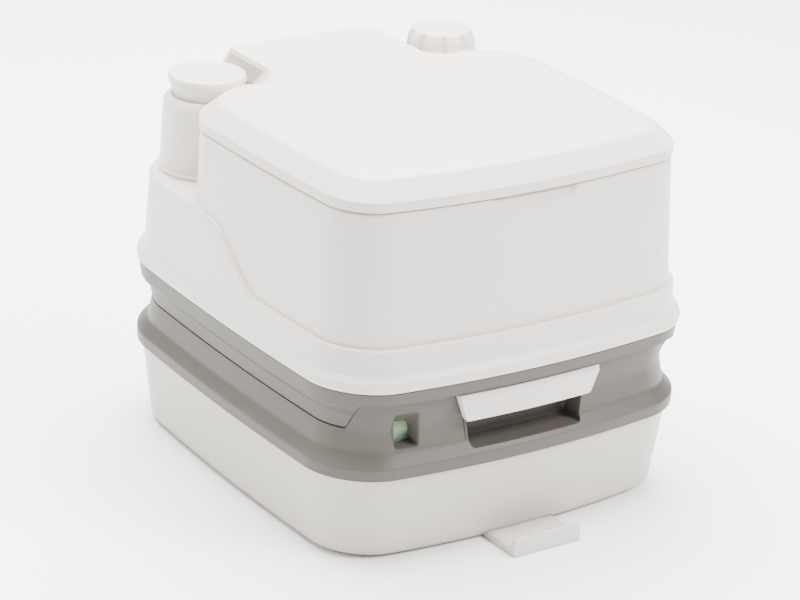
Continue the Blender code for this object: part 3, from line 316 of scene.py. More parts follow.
def carve(piece, tool):
    """Cuts a tool's shape out of a piece and removes the tool."""
    step = piece.modifiers.new("carve", 'BOOLEAN')
    step.operation = 'DIFFERENCE'
    step.solver = 'EXACT'
    step.object = tool
    bake(piece, SHARP)
    bpy.data.objects.remove(tool)


def rounded_block(name, low, high, radius):
    """A box with rounded edges: a rounded rectangle in plan carried up a quarter-round,
    a straight side and another quarter-round."""
    low, high = np.array(low, float), np.array(high, float)
    quarter = np.radians(np.linspace(0, 90, 5))
    half = (high[:2] - low[:2]) / 2 - radius
    centre = (high[:2] + low[:2]) / 2
    around = np.concatenate([quarter + k * np.pi / 2 for k in range(4)])
    corner = np.repeat([[1, 1], [-1, 1], [-1, -1], [1, -1]], len(quarter), axis=0) * half
    reach = np.concatenate([np.sin(quarter), np.cos(quarter)]) * radius
    height = np.concatenate([low[2] + radius * (1 - np.cos(quarter)),
                             high[2] - radius * (1 - np.sin(quarter))])
    x = centre[0] + corner[:, 0] + reach[:, None] * np.cos(around)
    y = centre[1] + corner[:, 1] + reach[:, None] * np.sin(around)
    return skin(name, np.stack([x, y, np.broadcast_to(height[:, None], x.shape)], axis=-1))


TONE_DRIFT, GLOSS_DRIFT = 0.985, 0.05


def moulded_plastic(name, colour, roughness, grain=0.9, depth=0.02):
    """Injection or blow moulded polymer: one solid colour that drifts by a percent or two
    over the piece, and a satin skin with a fine orange-peel texture, grain mm wide and
    depth mm deep."""
    made, tree, shader, place = blank_material(name)
    cloud = noise(tree, place, 14.0, 3.0)
    base = np.array(linear(colour))
    vary_tint(tree, shader, cloud, (*(base[:3] * TONE_DRIFT), 1), tuple(base), (0.3, 0.7))
    vary_gloss(tree, shader, cloud, roughness - GLOSS_DRIFT, roughness + GLOSS_DRIFT)
    peel = noise(tree, place, 1000 / grain)
    relief = add(tree, "ShaderNodeBump", {"Strength": 0.25, "Distance": depth * MM},
                 {"Height": peel.outputs["Fac"]})
    tree.links.new(relief.outputs["Normal"], shader.inputs["Normal"])
    shader.inputs["IOR"].default_value = 1.5
    shader.inputs["Specular IOR Level"].default_value = 0.25
    return made


def finish(piece, material, body, slot, *nodes):
    """Gives a piece its one material and its body, and hides the nodes it stands for. The slot argument is
    not used.
    """
    piece.data.materials.clear()
    piece.data.materials.append(material)
    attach(piece, body)
    if nodes:
        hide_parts(*nodes)


# White polyethylene as moulded: warm white with a satin skin.
white_shell = moulded_plastic("white_polyethylene_moulded", "#d0c9c2", 0.36)
# The tub's white is painted a little darker than the flush unit's as painted shade, for the lesser light
# that reaches it under the grey lap.
white_painted_shade = moulded_plastic("white_polyethylene_blown_painted_shade", "#bab4ab", 0.42, grain=1.4, depth=0.03)

TUB_TOP = 81.0
TUB_INSET = 3.8
TUB_FOOT = 12.0
tub_path = soften([(0, 70), (0, TUB_FOOT, 11), (TUB_TOP, TUB_INSET, 0.6), (TUB_TOP, TUB_INSET + WALL, 0.6),
                   (WALL, TUB_FOOT + WALL, 9), (WALL, 70)])
tub = skin("waste_tank_tub", rise(footprint, tub_path))
POCKET_LEFT, POCKET_RIGHT, POCKET_FLOOR, POCKET_TOP, POCKET_ROUND = -105.0, 62.0, 56.0, 98.0, 4.0
NOTCH_ROOM = WALL + 0.6
carve(tub, rounded_block("tub_notch", (POCKET_LEFT - NOTCH_ROOM, 140, POCKET_FLOOR - NOTCH_ROOM),
                         (POCKET_RIGHT + NOTCH_ROOM, 210, 100), POCKET_ROUND))
HOOK_NEAR, HOOK_FAR, HOOK_HALF, HOOK_TOP = 154.0, 206.0, 32.0, 5.2
for side in (-1, 1):
    near, far = sorted((side * HOOK_FAR, side * HOOK_NEAR))
    carve(tub, rounded_block("hook_pocket", (-HOOK_HALF, near, -6), (HOOK_HALF, far, HOOK_TOP), 1.0))
# The tub takes the darker white, a copy of the white plastic with painted shade.
finish(tub, white_painted_shade, "waste_tank", "white_polyethylene", "tank_tub")


# ---------------------------------------------------------------- grey tank top
# Upper half of the waste tank, moulded in warm grey. Its lap stands proud of the tub,
# a cove runs up to the waist, and the front rises to carry the window and the grip.

grey_shell = moulded_plastic("grey_polyethylene_moulded", "#4f4b45", 0.46)

LAP_BOTTOM = 70.6
WAIST = 107.0
FRONT_SEAM = 130.4
SEAM_GAP = 0.35
SLANT_START, SLANT_WIDTH = 139.0, 8.0
BAND_SPLIT = 100.0


def front_seam(x, y):
    """Height of the joint line between the halves: the waist at the sides and rear,
    raised over the front, with a straight slant between at each front corner."""
    slant = FRONT_SEAM - (np.abs(x) - SLANT_START) * (FRONT_SEAM - WAIST) / SLANT_WIDTH
    return np.where(y < -100, np.clip(slant, WAIST, FRONT_SEAM), WAIST)


def inset_at(path, height):
    """Inset of a rising (height, inset) path at any height."""
    return np.interp(height, path[:, 0], path[:, 1])


def all_round(*values):
    """One row of equal values, as long as the footprint, for each value."""
    return np.repeat(np.array(values, float)[:, None], len(column_x), axis=1)


band_path = soften([(LAP_BOTTOM, 1.6), (LAP_BOTTOM + 0.3, 1.2, 0.5), (80.0, 1.0, 3.5), (89.5, 8.4, 7),
                    (WAIST, 11.3, 14), (FRONT_SEAM, 8.8)])
column_x, column_y = footprint(11.0)
seam_here = front_seam(column_x, column_y) - SEAM_GAP
fixed = band_path[band_path[:, 0] < BAND_SPLIT]
rising_z = BAND_SPLIT + np.linspace(0, 1, 9)[1:, None] * (seam_here - 0.8 - BAND_SPLIT)
edge_z = np.stack([seam_here - 0.25, seam_here, seam_here, seam_here - 0.3])
edge_in = inset_at(band_path, seam_here)
edge_in = np.stack([edge_in + 0.1, edge_in + 0.7, edge_in + WALL - 0.5, edge_in + WALL])
band_z = np.concatenate([all_round(*fixed[:, 0]), rising_z, edge_z, all_round(99, 90, 84, LAP_BOTTOM)])
band_in = np.concatenate([all_round(*fixed[:, 1]), inset_at(band_path, rising_z), edge_in,
                          all_round(13.4, 11.8, 7.0, 3.3)])
band_x, band_y = footprint(band_in)
tank_band = skin("waste_tank_top", np.stack([band_x, band_y, band_z], axis=-1), wrap=True)


def front_wall(x, inset):
    """Distance of the bowed front wall from the middle at x."""
    half = HALF_WIDTH - SIDE_BOW - inset
    return HALF_DEPTH - FRONT_BOW - inset + FRONT_BOW * (1 - (x / half) ** 2)


def upright_ring(points, y, radius, turns=5):
    """Closed polygon of (x, z) corners in an upright plane, each corner rounded by a
    parabola between points at the given distance from it."""
    corners = np.array(points, float)
    t = np.linspace(0, 1, turns)[:, None]
    before = np.roll(corners, 1, axis=0) - corners
    after = np.roll(corners, -1, axis=0) - corners
    before /= np.hypot(before[:, 0], before[:, 1])[:, None]
    after /= np.hypot(after[:, 0], after[:, 1])[:, None]
    first, last = corners + before * radius, corners + after * radius
    curve = ((1 - t) ** 2)[None] * first[:, None] + (2 * t * (1 - t))[None] * corners[:, None] \
        + (t ** 2)[None] * last[:, None]
    flat = curve.reshape(-1, 2)
    return np.stack([flat[:, 0], np.full(len(flat), y), flat[:, 1]], axis=-1)


HANDLE_X = -4.0
RECESS_FLOOR = 83.5
RECESS_BACK = 164.0
GRIP_LOW, GRIP_HIGH = 50.6, 56.0


def recess_ring(y, grow=0.0):
    """Mouth of the grip recess at a distance in front of the middle: wider at its top."""
    low, high = RECESS_FLOOR - grow, FRONT_SEAM - 2.0 + grow
    return upright_ring([(HANDLE_X - GRIP_LOW - grow, low), (HANDLE_X + GRIP_LOW + grow, low),
                         (HANDLE_X + GRIP_HIGH + grow, high), (HANDLE_X - GRIP_HIGH - grow, high)],
                        -y, 4.0)


WINDOW_X, WINDOW_HALF, WINDOW_LOW, WINDOW_HIGH, PORT_HIGH = -107.0, 10.0, 91.5, 119.0, 109.8


def window_ring(y, grow=0.0):
    """Mouth of the window pocket at a distance in front of the middle."""
    left, right_side = WINDOW_X - WINDOW_HALF - grow, WINDOW_X + WINDOW_HALF + grow
    low, high = WINDOW_LOW - grow, WINDOW_HIGH + grow
    return upright_ring([(left, low), (right_side, low), (right_side, high), (left, high)], -y, 3.5)


carve(tank_band, skin("grip_cut", np.stack([recess_ring(210), recess_ring(150)])))
carve(tank_band, skin("window_cut", np.stack([window_ring(210, 0.5), window_ring(150, 0.5)])))
carve(tank_band, rounded_block("spout_cut", (POCKET_LEFT, 140, POCKET_FLOOR),
                               (POCKET_RIGHT, 215, POCKET_TOP), POCKET_ROUND))
carve(tank_band, rounded_block("latch_catch", (77.8, 174.6, 96.6), (106.2, 190, 104.4), 0.5))
finish(tank_band, grey_shell, "waste_tank", "grey_polyethylene", "tank_top")


def on_band(ring, sink):
    """The ring moved along Y until it lies a distance behind the band's outer wall."""
    depth = front_wall(ring[:, 0], inset_at(band_path, ring[:, 2])) - sink
    return np.stack([ring[:, 0], -depth, ring[:, 2]], axis=-1)


# Open-fronted grip recess: outer rings run out to the mouth, inner rings run back in to
# a rounded floor.
recess_rows = [recess_ring(RECESS_BACK - 2.0, -2.0), recess_ring(RECESS_BACK, 2.0),
               on_band(recess_ring(0, 2.0), 2.4), on_band(recess_ring(0, 0.1), 1.6)]
recess_rows += [recess_ring(RECESS_BACK + ahead, grow)
                for ahead, grow in ((4.0, 0.0), (1.2, -0.6), (0.3, -2.2), (0.0, -4.5))]
finish(skin("grip_recess", np.stack(recess_rows)), grey_shell, "waste_tank", "grey_polyethylene")
WINDOW_DEPTH = 10.2
window_floor = front_wall(WINDOW_X, 9.0) - WINDOW_DEPTH


def port_ring(depth, grow=0.0):
    """The port in front of the drum: as wide as the pocket, lower, and rounded by
    parabolas, with more of a round at its right upper corner."""
    left, right_side = WINDOW_X - WINDOW_HALF + 0.8 - grow, WINDOW_X + WINDOW_HALF - 0.8 + grow
    low, high = WINDOW_LOW + 0.6 - grow, PORT_HIGH + grow
    return upright_ring([(left, low), (right_side, low), (right_side - 2.5, high), (left, high)], -depth,
                        np.array([1.5, 1.5, 7.0, 2.5])[:, None] + grow)


hood = [port_ring(window_floor - 2.0, 1.6)]
hood += [on_band(window_ring(0, grow), sink)
         for grow, sink in ((2.0, 2.4), (0.9, 0.1), (0.2, 0.5), (-0.2, 1.4))]
hood += [port_ring(window_floor, 0.3), port_ring(window_floor - 0.6), port_ring(window_floor - 2.0)]
finish(skin("window_pocket", np.stack(hood), wrap=True), grey_shell, "waste_tank", "grey_polyethylene")


def spread(outline, centre_y, hole, heights, rows=2):
    """Flat plate between a round hole and an outline: straight lines run from each
    outline point to the hole's rim at the same bearing, and the plate has two faces."""
    x, y = outline
    bearing = np.arctan2(y - centre_y, x)
    t = np.linspace(0, 1, rows)[:, None]
    px = (1 - t) * x + t * hole * np.cos(bearing)
    py = (1 - t) * y + t * (centre_y + hole * np.sin(bearing))
    low = np.stack([px, py, heights(px, py)], axis=-1)
    high = low[::-1] + np.array([0, 0, WALL])
    return np.concatenate([low, high])


MOUTH_Y, MOUTH_RADIUS, DECK, OUTLET_RADIUS = -40.0, 42.0, 104.0, 41.0
deck_plate = skin("waste_tank_deck", spread(footprint(12.6), MOUTH_Y, MOUTH_RADIUS,
                                            lambda x, y: np.full_like(x, DECK - WALL)), wrap=True)
for label, centre, reach, rear in (("gauge_room", WINDOW_X, 11.6, -135),
                                   ("grip_room", HANDLE_X, 57, 0.5 - RECESS_BACK)):
    carve(deck_plate, rounded_block(label, (centre - reach, -182, 80), (centre + reach, rear, 118), 0.5))
finish(deck_plate, grey_shell, "waste_tank", "grey_polyethylene")


# ---------------------------------------------------------------- spout pocket
# The rear pocket that the pour-out spout folds into, moulded with the grey half.

SPOUT_X, SPOUT_Y, SPOUT_Z = -84.0, 168.5, 80.3


def rear_ring(y, grow=0.0):
    """Mouth of the spout pocket at a distance behind the middle."""
    left, right_side = POCKET_LEFT - grow, POCKET_RIGHT + grow
    low, high = POCKET_FLOOR - grow, POCKET_TOP + grow
    return upright_ring([(left, low), (right_side, low), (right_side, high), (left, high)], y, POCKET_ROUND)


def rear_mouth(ring, sink):
    """The ring moved along Y to just inside the rear wall of the tub and the band."""
    inset = np.where(ring[:, 2] > LAP_BOTTOM, inset_at(band_path, ring[:, 2]), 6.5)
    return np.stack([ring[:, 0], front_wall(ring[:, 0], inset) - sink, ring[:, 2]], axis=-1)


pocket_rows = [rear_ring(148.5, -2.0), rear_ring(148.5, 3.5), rear_mouth(rear_ring(0, 3.5), 1.9),
               rear_mouth(rear_ring(0, 0.1), 1.6), rear_ring(153.5, 0.0), rear_ring(151.0, -0.8),
               rear_ring(150.5, -4.0)]
finish(skin("spout_pocket", np.stack(pocket_rows)), grey_shell, "waste_tank", "grey_polyethylene")


# ---------------------------------------------------------------- pour-out spout
# Grey elbow that swings out of the pocket to empty the tank, with a dark screw cap.

dark_plastic = moulded_plastic("polypropylene_dark_grey", "#3a3937", 0.48)
rubber = moulded_plastic("nitrile_rubber_moulded", "#262626", 0.75, grain=0.5, depth=0.03)


def carried(path, radius):
    """Round section carried along a path: at each point a circle of the given radius
    in the plane square to the path, turned as little as possible from the last."""
    path = np.asarray(path, float)
    ahead = np.gradient(path, axis=0)
    ahead /= np.linalg.norm(ahead, axis=1)[:, None]
    side = np.zeros_like(path)
    side[0] = np.cross(ahead[0], [0.31, 0.87, 0.38])
    for i in range(1, len(path)):
        side[i] = side[i - 1] - ahead[i] * (side[i - 1] @ ahead[i])
        side[i] /= np.linalg.norm(side[i])
    side[0] /= np.linalg.norm(side[0])
    other = np.cross(ahead, side)
    turn = np.linspace(0, 2 * np.pi, 28, endpoint=False)[:, None]
    return path[:, None] + radius * (side[:, None] * np.cos(turn) + other[:, None] * np.sin(turn))


def lathe(name, profile, centre, axis='Z', steps=72):
    """A (radius, height) profile turned round an axis through a point; a profile that
    starts and ends off the axis is joined into a ring."""
    profile = np.asarray(profile, float)
    turn = np.linspace(0, 2 * np.pi, steps, endpoint=False)
    ring = profile[:, :1] * np.cos(turn)
    other = profile[:, :1] * np.sin(turn)
    along = np.broadcast_to(profile[:, 1:2], ring.shape)
    order = {'Z': (ring, other, along), 'X': (along, ring, other), 'Y': (other, along, ring)}[axis]
    grid = np.stack(order, axis=-1) + np.array(centre, float)
    closed = profile[0, 0] > 0 and profile[-1, 0] > 0
    return skin(name, grid, wrap=closed, caps=False)


quarter = np.radians(np.linspace(0, 90, 13))
ELBOW_RADIUS, PIPE_OUTER, PIPE_INNER = 20.0, 14.0, 11.0
elbow = np.stack([SPOUT_X + ELBOW_RADIUS * (1 - np.cos(quarter)), np.full(13, SPOUT_Y),
                  SPOUT_Z - ELBOW_RADIUS + ELBOW_RADIUS * np.sin(quarter)], axis=1)
spout_path = np.concatenate([[[SPOUT_X, SPOUT_Y, 56.3]], elbow,
                             [[0, SPOUT_Y, SPOUT_Z], [49.9, SPOUT_Y, SPOUT_Z]]])
spout_grid = np.concatenate([carried(spout_path, PIPE_OUTER), carried(spout_path, PIPE_INNER)[::-1]])
finish(skin("pour_spout", spout_grid, wrap=True), grey_shell, "spout", "grey_polyethylene", "spout_pipe")
cap_path = soften([(0, 5.2), (14.4, 5.2, 1.5), (16.6, 2.6, 1.5), (16.6, -12, 0.8), (14.5, -12, 0.5),
                   (14.5, 2.0, 0.5), (0, 2.0)])
spout_cap = lathe("spout_screw_cap", cap_path, (50, SPOUT_Y, SPOUT_Z), 'X')
finish(spout_cap, dark_plastic, "spout_stopper", "dark_grey_plastic", "spout_cap")


# ---------------------------------------------------------------- slide valve
# Flat dark housing on the tank's deck, grey blade, and the white pull handle that
# fills the upper part of the grip recess, with sloping ends and a bevelled top.

white_handle = moulded_plastic("white_abs_handle", "#cdc7c0", 0.38, grain=0.7)
HANDLE_LOW, HANDLE_TOP = 107.1, 129.3
HANDLE_HALF_TOP, HANDLE_HALF_LOW = 65.0, 57.0
section = upright_ring([(183.9, HANDLE_LOW + 1.2), (189.6, HANDLE_LOW), (190.9, HANDLE_TOP - 3.2),
                        (188.3, HANDLE_TOP - 0.2), (183.9, HANDLE_TOP)], 0.0, 1.1, 6)[:, [0, 2]]
middle = section.mean(axis=0)
along = np.concatenate([[-1.0, -0.9965, -0.991], np.linspace(-0.985, 0.985, 41), [0.991, 0.9965, 1.0]])
scale = np.interp(1 - np.abs(along), [0, 0.0035, 0.009, 0.015], [0.80, 0.91, 0.98, 1.0])
bar = middle + (section - middle) * scale[:, None, None]
share = (bar[..., 1] - HANDLE_LOW) / (HANDLE_TOP - HANDLE_LOW)
half = HANDLE_HALF_LOW + share * (HANDLE_HALF_TOP - HANDLE_HALF_LOW)
bar_x = HANDLE_X + along[:, None] * half
bend = front_wall(bar_x, 7.0) - front_wall(0.0, 7.0)
handle = skin("pull_handle", np.stack([bar_x, -(bar[..., 0] + bend), bar[..., 1]], axis=-1), sharp=50)
finish(handle, white_handle, "slide_valve", "white_polyethylene", "valve_handle")


def dress(material, *names):
    """Gives CAD nodes that are shown as they are their material."""
    for name in names:
        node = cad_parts[name]
        node.data.materials.clear()
        node.data.materials.append(material)


def eased_copy(name, node, width):
    """Copy of a CAD solid whose triangles are merged into faces and whose sharp edges
    are rounded to a small radius, as a mould leaves them."""
    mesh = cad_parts[node].data.copy()
    bm = bmesh.new()
    bm.from_mesh(mesh)
    bmesh.ops.remove_doubles(bm, verts=bm.verts, dist=2e-6)
    bmesh.ops.dissolve_limit(bm, angle_limit=math.radians(1.0), verts=bm.verts, edges=bm.edges)
    bm.to_mesh(mesh)
    bm.free()
    mesh.name = name
    made = placed(name, mesh)
    edge = made.modifiers.new("eased", 'BEVEL')
    edge.width = width * MM
    edge.segments = 3
    edge.limit_method = 'ANGLE'
    edge.angle_limit = math.radians(30)
    edge.harden_normals = False
    bake(made, 40)
    return made


finish(eased_copy("valve_housing", "valve_body", 0.8), dark_plastic, "waste_tank", "dark_grey_plastic",
       "valve_body")
finish(eased_copy("slide_blade", "valve_blade", 0.6), grey_shell, "slide_valve", "grey_polyethylene",
       "valve_blade")
dress(rubber, "valve_lip_seal", "spout_gasket", "vent_gasket", "bowl_gasket", "piston_seal", "filler_gasket")


# ---------------------------------------------------------------- level gauge
# Green drum that turns behind a clear window as the float rises.

green_drum = moulded_plastic("green_acetal_drum", "#3c7d0c", 0.34, grain=0.6)
GAUGE_Y, GAUGE_Z = -150.0637, 100.0
DRUM_RADIUS, DRUM_HALF, AXLE_HOLE, FLOAT_RADIUS = 13.0, 10.6, 2.4, 13.0
drum_path = soften([(AXLE_HOLE, -DRUM_HALF), (DRUM_RADIUS, -DRUM_HALF, 0.5), (DRUM_RADIUS, DRUM_HALF, 0.5),
                    (AXLE_HOLE, DRUM_HALF)])
finish(lathe("gauge_drum", drum_path, (WINDOW_X, GAUGE_Y, GAUGE_Z), 'X'), green_drum, "gauge",
       "green_plastic", "level_drum")
ball = np.linspace(0, np.pi, 25)
float_low, float_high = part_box("level_float")
float_centre = [(a + b) / 2 / MM for a, b in zip(float_low, float_high)]
ball_path = FLOAT_RADIUS * np.stack([np.sin(ball), np.cos(ball)], axis=1)
finish(lathe("gauge_float", ball_path, float_centre, steps=48),
       white_painted_shade, "gauge", "white_polyethylene", "level_float")
dress(grey_shell, "level_axle", "float_arm")


def clear_window():
    """Clear acrylic pane, thin enough to let light straight through: colourless, IOR 1.49."""
    made, tree, shader, place = blank_material("acrylic_clear_polished")
    shader.inputs["Base Color"].default_value = linear("#f4f8f4")
    shader.inputs["Alpha"].default_value = 0.08
    shader.inputs["IOR"].default_value = 1.49
    vary_gloss(tree, shader, noise(tree, place, 120.0), 0.02, 0.07)
    return made


dress(clear_window(), "level_window")


# ---------------------------------------------------------------- vent button
# Green thumb button on the deck that lets air in while the tank is poured out.

vent_path = soften([(0, 112.2), (7.0, 112.0, 2.0), (8.6, 108.6, 1.0), (4.0, 108.2, 0.3), (4.0, 95, 0.5),
                    (0, 95)])
finish(lathe("vent_thumb_button", vent_path, (100, -60, 0), steps=48), green_drum, "vent", "green_plastic",
       "vent_button")


# ---------------------------------------------------------------- floor brackets
# White moulded plates with key holes for two floor screws and an upturned lip.

for end in ("front", "rear"):
    finish(eased_copy("floor_bracket_" + end, "bracket_" + end, 0.7), white_handle, "waste_tank",
           "white_polyethylene", "bracket_" + end)


# ---------------------------------------------------------------- base tray
# Grey floor of the flush tank. Its skirt laps over the waste tank: a lip under the
# white flange, then a recessed wall down to the seam, raised over the front.

FLANGE = 141.2
tray_path = soften([(WAIST, 11.3), (120.5, 8.8, 3.5), (127.0, 3.2, 4), (FLANGE - 0.35, 1.5)], 9)
tray_seam = front_seam(column_x, column_y) + SEAM_GAP
grow = np.linspace(0, 1, 49)[:, None]
outer_z = tray_seam + 0.8 + grow * (FLANGE - 0.9 - tray_seam - 0.8)
outer_in = inset_at(tray_path, outer_z)
lip_in = inset_at(tray_path, tray_seam)
close_z = all_round(FLANGE - 0.35, FLANGE - 0.35)
close_in = all_round(2.2, 6.0)
back_z = tray_seam + (1 - grow[::8]) * (FLANGE - 3.0 - tray_seam)
back_in = inset_at(tray_path, back_z) + WALL + 0.6
foot_z = np.stack([tray_seam, tray_seam, tray_seam + 0.25])
foot_in = np.stack([lip_in + WALL - 0.4, lip_in + 0.7, lip_in + 0.1])
tray_z = np.concatenate([foot_z, outer_z, close_z, back_z])
tray_in = np.concatenate([foot_in, outer_in, close_in, back_in])
tray_x, tray_y = footprint(tray_in)
tray = skin("flush_tank_tray", np.stack([tray_x, tray_y, tray_z], axis=-1), wrap=True)
finish(tray, grey_shell, "flush_unit", "grey_polyethylene", "base_tray")


TRAY_FLOOR = 121.0


def tray_floor_height(x, y):
    """Floor level, with a smooth step up over the raised front of the waste tank."""
    step = np.clip((-y - 129.0) / 3.0, 0, 1) * np.clip((150.0 - np.abs(x)) / 3.0, 0, 1)
    return TRAY_FLOOR + (FRONT_SEAM + 0.3 - TRAY_FLOOR) * step * step * (3 - 2 * step)


tray_floor = spread(footprint(11.0), MOUTH_Y, OUTLET_RADIUS, tray_floor_height, 48)
finish(skin("tray_floor", tray_floor, wrap=True), grey_shell, "flush_unit", "grey_polyethylene")
finish(eased_copy("rear_latch", "latch_lever", 0.5), grey_shell, "latch", "grey_polyethylene", "latch_lever")


def drawn_steel():
    """Stainless rod as drawn: bright grey with fine lines round it."""
    made, tree, shader, place = blank_material("stainless_steel_drawn")
    shader.inputs["Metallic"].default_value = 1.0
    shader.inputs["Base Color"].default_value = linear("#c4c3c0")
    vary_gloss(tree, shader, noise(tree, place, 400.0), 0.22, 0.36)
    return made


dress(drawn_steel(), "latch_pin", "hinge_pin_left", "hinge_pin_right", "piston_rod")


# ---------------------------------------------------------------- flush housing, skirt
# Lower part of the white flush-water shell: a rounded flange over the grey tray, a
# leaning wall, and a top edge that drops from the rear shoulder to a low ledge in front.

CREASE, SHOULDER = 172.5, 215.0
SKIRT_SPLIT, SKIRT_FLOOR = 158.0, 166.0
SLOPE_START, SLOPE_LENGTH, SLOPE_TOP, SLOPE_EASE = -39.0, 53.0, 212.6, 0.045
skirt_wall = soften([(FLANGE, 2.6), (FLANGE + 0.4, 0.8, 0.6), (144.8, 0.0, 2.4), (149.0, 1.4, 2.0),
                     (153.6, 5.5, 4.0), (SHOULDER, 8.5)])


def shoulder_height(y):
    """Height of the skirt's top edge along its length: a straight slope between two
    levels, with both bends rounded."""
    slope = (y - SLOPE_START) / SLOPE_LENGTH
    rounded = np.logaddexp(0, slope / SLOPE_EASE) - np.logaddexp(0, (slope - 1) / SLOPE_EASE)
    return CREASE + (SLOPE_TOP - CREASE) * SLOPE_EASE * rounded + 2.4 * np.clip((y - 14) / 30.0, 0, 1)


top_here = shoulder_height(column_y)
edge_round = np.interp(top_here, [CREASE, SHOULDER], [1.3, 3.6])
low_rows = skirt_wall[skirt_wall[:, 0] < SKIRT_SPLIT]
wall_z = SKIRT_SPLIT + np.linspace(0, 1, 17)[:, None] * (top_here - edge_round - SKIRT_SPLIT)
wall_in = inset_at(skirt_wall, wall_z)
swing = np.radians(np.linspace(0, 90, 9))[1:, None]
round_z = top_here - edge_round * (1 - np.sin(swing))
round_in = inset_at(skirt_wall, top_here) + edge_round * (1 - np.cos(swing))
inward = np.array([1.0, 4.0, 12.0, 30.0, 60.0, 100.0])[:, None]
ledge_in = round_in[-1] + inward
ledge_z = np.broadcast_to(top_here, ledge_in.shape)
skirt_z = np.concatenate([all_round(FLANGE, *low_rows[:, 0]), wall_z, round_z, ledge_z,
                          all_round(SKIRT_FLOOR)])
skirt_in = np.concatenate([all_round(60, *low_rows[:, 1]), wall_in, round_in, ledge_in, all_round(104)])
skirt_x, skirt_y = footprint(skirt_in)
skirt = skin("flush_tank_skirt", np.stack([skirt_x, skirt_y, skirt_z], axis=-1))
finish(skirt, white_shell, "flush_unit", "white_polyethylene", "flush_housing")


# ---------------------------------------------------------------- flush housing, seat tower
# The seat tower and its hinge tongue, one moulding with the skirt: leaning walls, a
# rim round the seat recess, a floor with the bowl's opening, and a finger notch in front.

TOWER_TOP, SEAT_DECK, RIM = 274.4, 262.0, 8.0
TOWER_HALF, TOWER_FRONT, TOWER_REAR = 157.6, 173.2, 86.5
TONGUE_HALF, TONGUE_REAR = 72.0, 134.0
BOWL_Y = -48.0
NOTCH_DROP, NOTCH_LEAN = 7.8, 4.6
FRONT_STATIONS = np.concatenate([np.linspace(0, NOTCH_HALF_LOW, 9)[:-1],
                                 np.linspace(NOTCH_HALF_LOW, NOTCH_HALF_TOP, 5)[:-1],
                                 np.linspace(NOTCH_HALF_TOP, 100, 10)])


def tower_outline(inset, height=TOWER_TOP, tongue_rear=TONGUE_REAR, tongue_half=TONGUE_HALF, tongue=True,
                  bay_radius=17.0):
    """Plan outline of the tower at a height: a rounded rectangle, wider towards its
    foot, with bowed sides, and a narrow tongue joined on behind by concave quarter turns."""
    drop = (TOWER_TOP - height) / (TOWER_TOP - CREASE)
    half = TOWER_HALF + 3.6 * drop - SIDE_BOW - inset
    depth = TOWER_FRONT + 8.4 * drop - FRONT_BOW - inset
    front, rear, back_y = 31.0 + 6.0 * drop - inset / 2, 48.0 - inset / 2, TOWER_REAR - inset
    nose = np.radians(np.linspace(-90, 0, 25))
    heel = np.radians(np.linspace(0, 90, 25))
    span = np.linspace(0, 1, 26)[1:-1]
    stations = np.append(FRONT_STATIONS, np.linspace(100, half - front, 4)[1:-1])
    x = np.concatenate([stations, half - front + front * np.cos(nose), np.full(24, half),
                        half - rear + rear * np.cos(heel)])
    y = np.concatenate([np.full(len(stations), -depth), front - depth + front * np.sin(nose),
                        (front - depth) * (1 - span) + (back_y - rear) * span,
                        back_y - rear + rear * np.sin(heel)])
    x, y = bowed(x, y, half, depth, front)
    if tongue:
        soft, tip, side_x = 9.0, tongue_rear - inset, tongue_half - inset
        hollow = min(bay_radius + inset, half - rear - side_x - 1.0)
        bay = np.radians(np.linspace(270, 180, 17))
        tip_turn = np.radians(np.linspace(0, 90, 11))
        straight = np.linspace(0, 1, 7)[1:-1]
        end = np.linspace(1, 0, 14)
        x = np.concatenate([x, side_x + hollow + hollow * np.cos(bay), np.full(5, side_x),
                            side_x - soft + soft * np.cos(tip_turn), (side_x - soft) * end[1:]])
        y = np.concatenate([y, back_y + hollow + hollow * np.sin(bay),
                            (back_y + hollow) * (1 - straight) + (tip - soft) * straight,
                            tip - soft + soft * np.sin(tip_turn), np.full(13, tip)])
    else:
        end = np.linspace(1, 0, 20)[1:]
        x = np.concatenate([x, x[-1] * end])
        y = np.concatenate([y, np.full(19, back_y)])
    return np.concatenate([x, -x[-2:0:-1]]), np.concatenate([y, y[-2:0:-1]])


def level_ring(outline, height):
    """An outline's points at one height."""
    x, y = outline
    return np.stack([x, y, np.broadcast_to(height, x.shape)], axis=-1)


def bowl_rim(x, y, half_x, half_y, height):
    """Points of an ellipse round the bowl's middle at the same bearings as an outline's."""
    bearing = np.arctan2(y - BOWL_Y, x)
    reach = half_x * half_y / np.hypot(half_y * np.cos(bearing), half_x * np.sin(bearing))
    return level_ring((reach * np.cos(bearing), BOWL_Y + reach * np.sin(bearing)), height)


def notched(height, inset):
    """Tower ring whose front is cut back in the finger notch: between the notch's
    sides it can't rise above the notch's floor unless it moves inwards."""
    x, y = tower_outline(0, height)
    side = np.clip((NOTCH_HALF_TOP - np.abs(x)) / (NOTCH_HALF_TOP - NOTCH_HALF_LOW), 0, 1)
    depth = np.where(y < 0, side, 0)
    inner_x, inner_y = tower_outline(inset, height)
    over = np.clip(height - (TOWER_TOP - NOTCH_DROP * depth), 0, None)
    slide = np.where(depth > 0, over / NOTCH_DROP * NOTCH_LEAN, 0)
    return level_ring((inner_x, inner_y + slide), height)


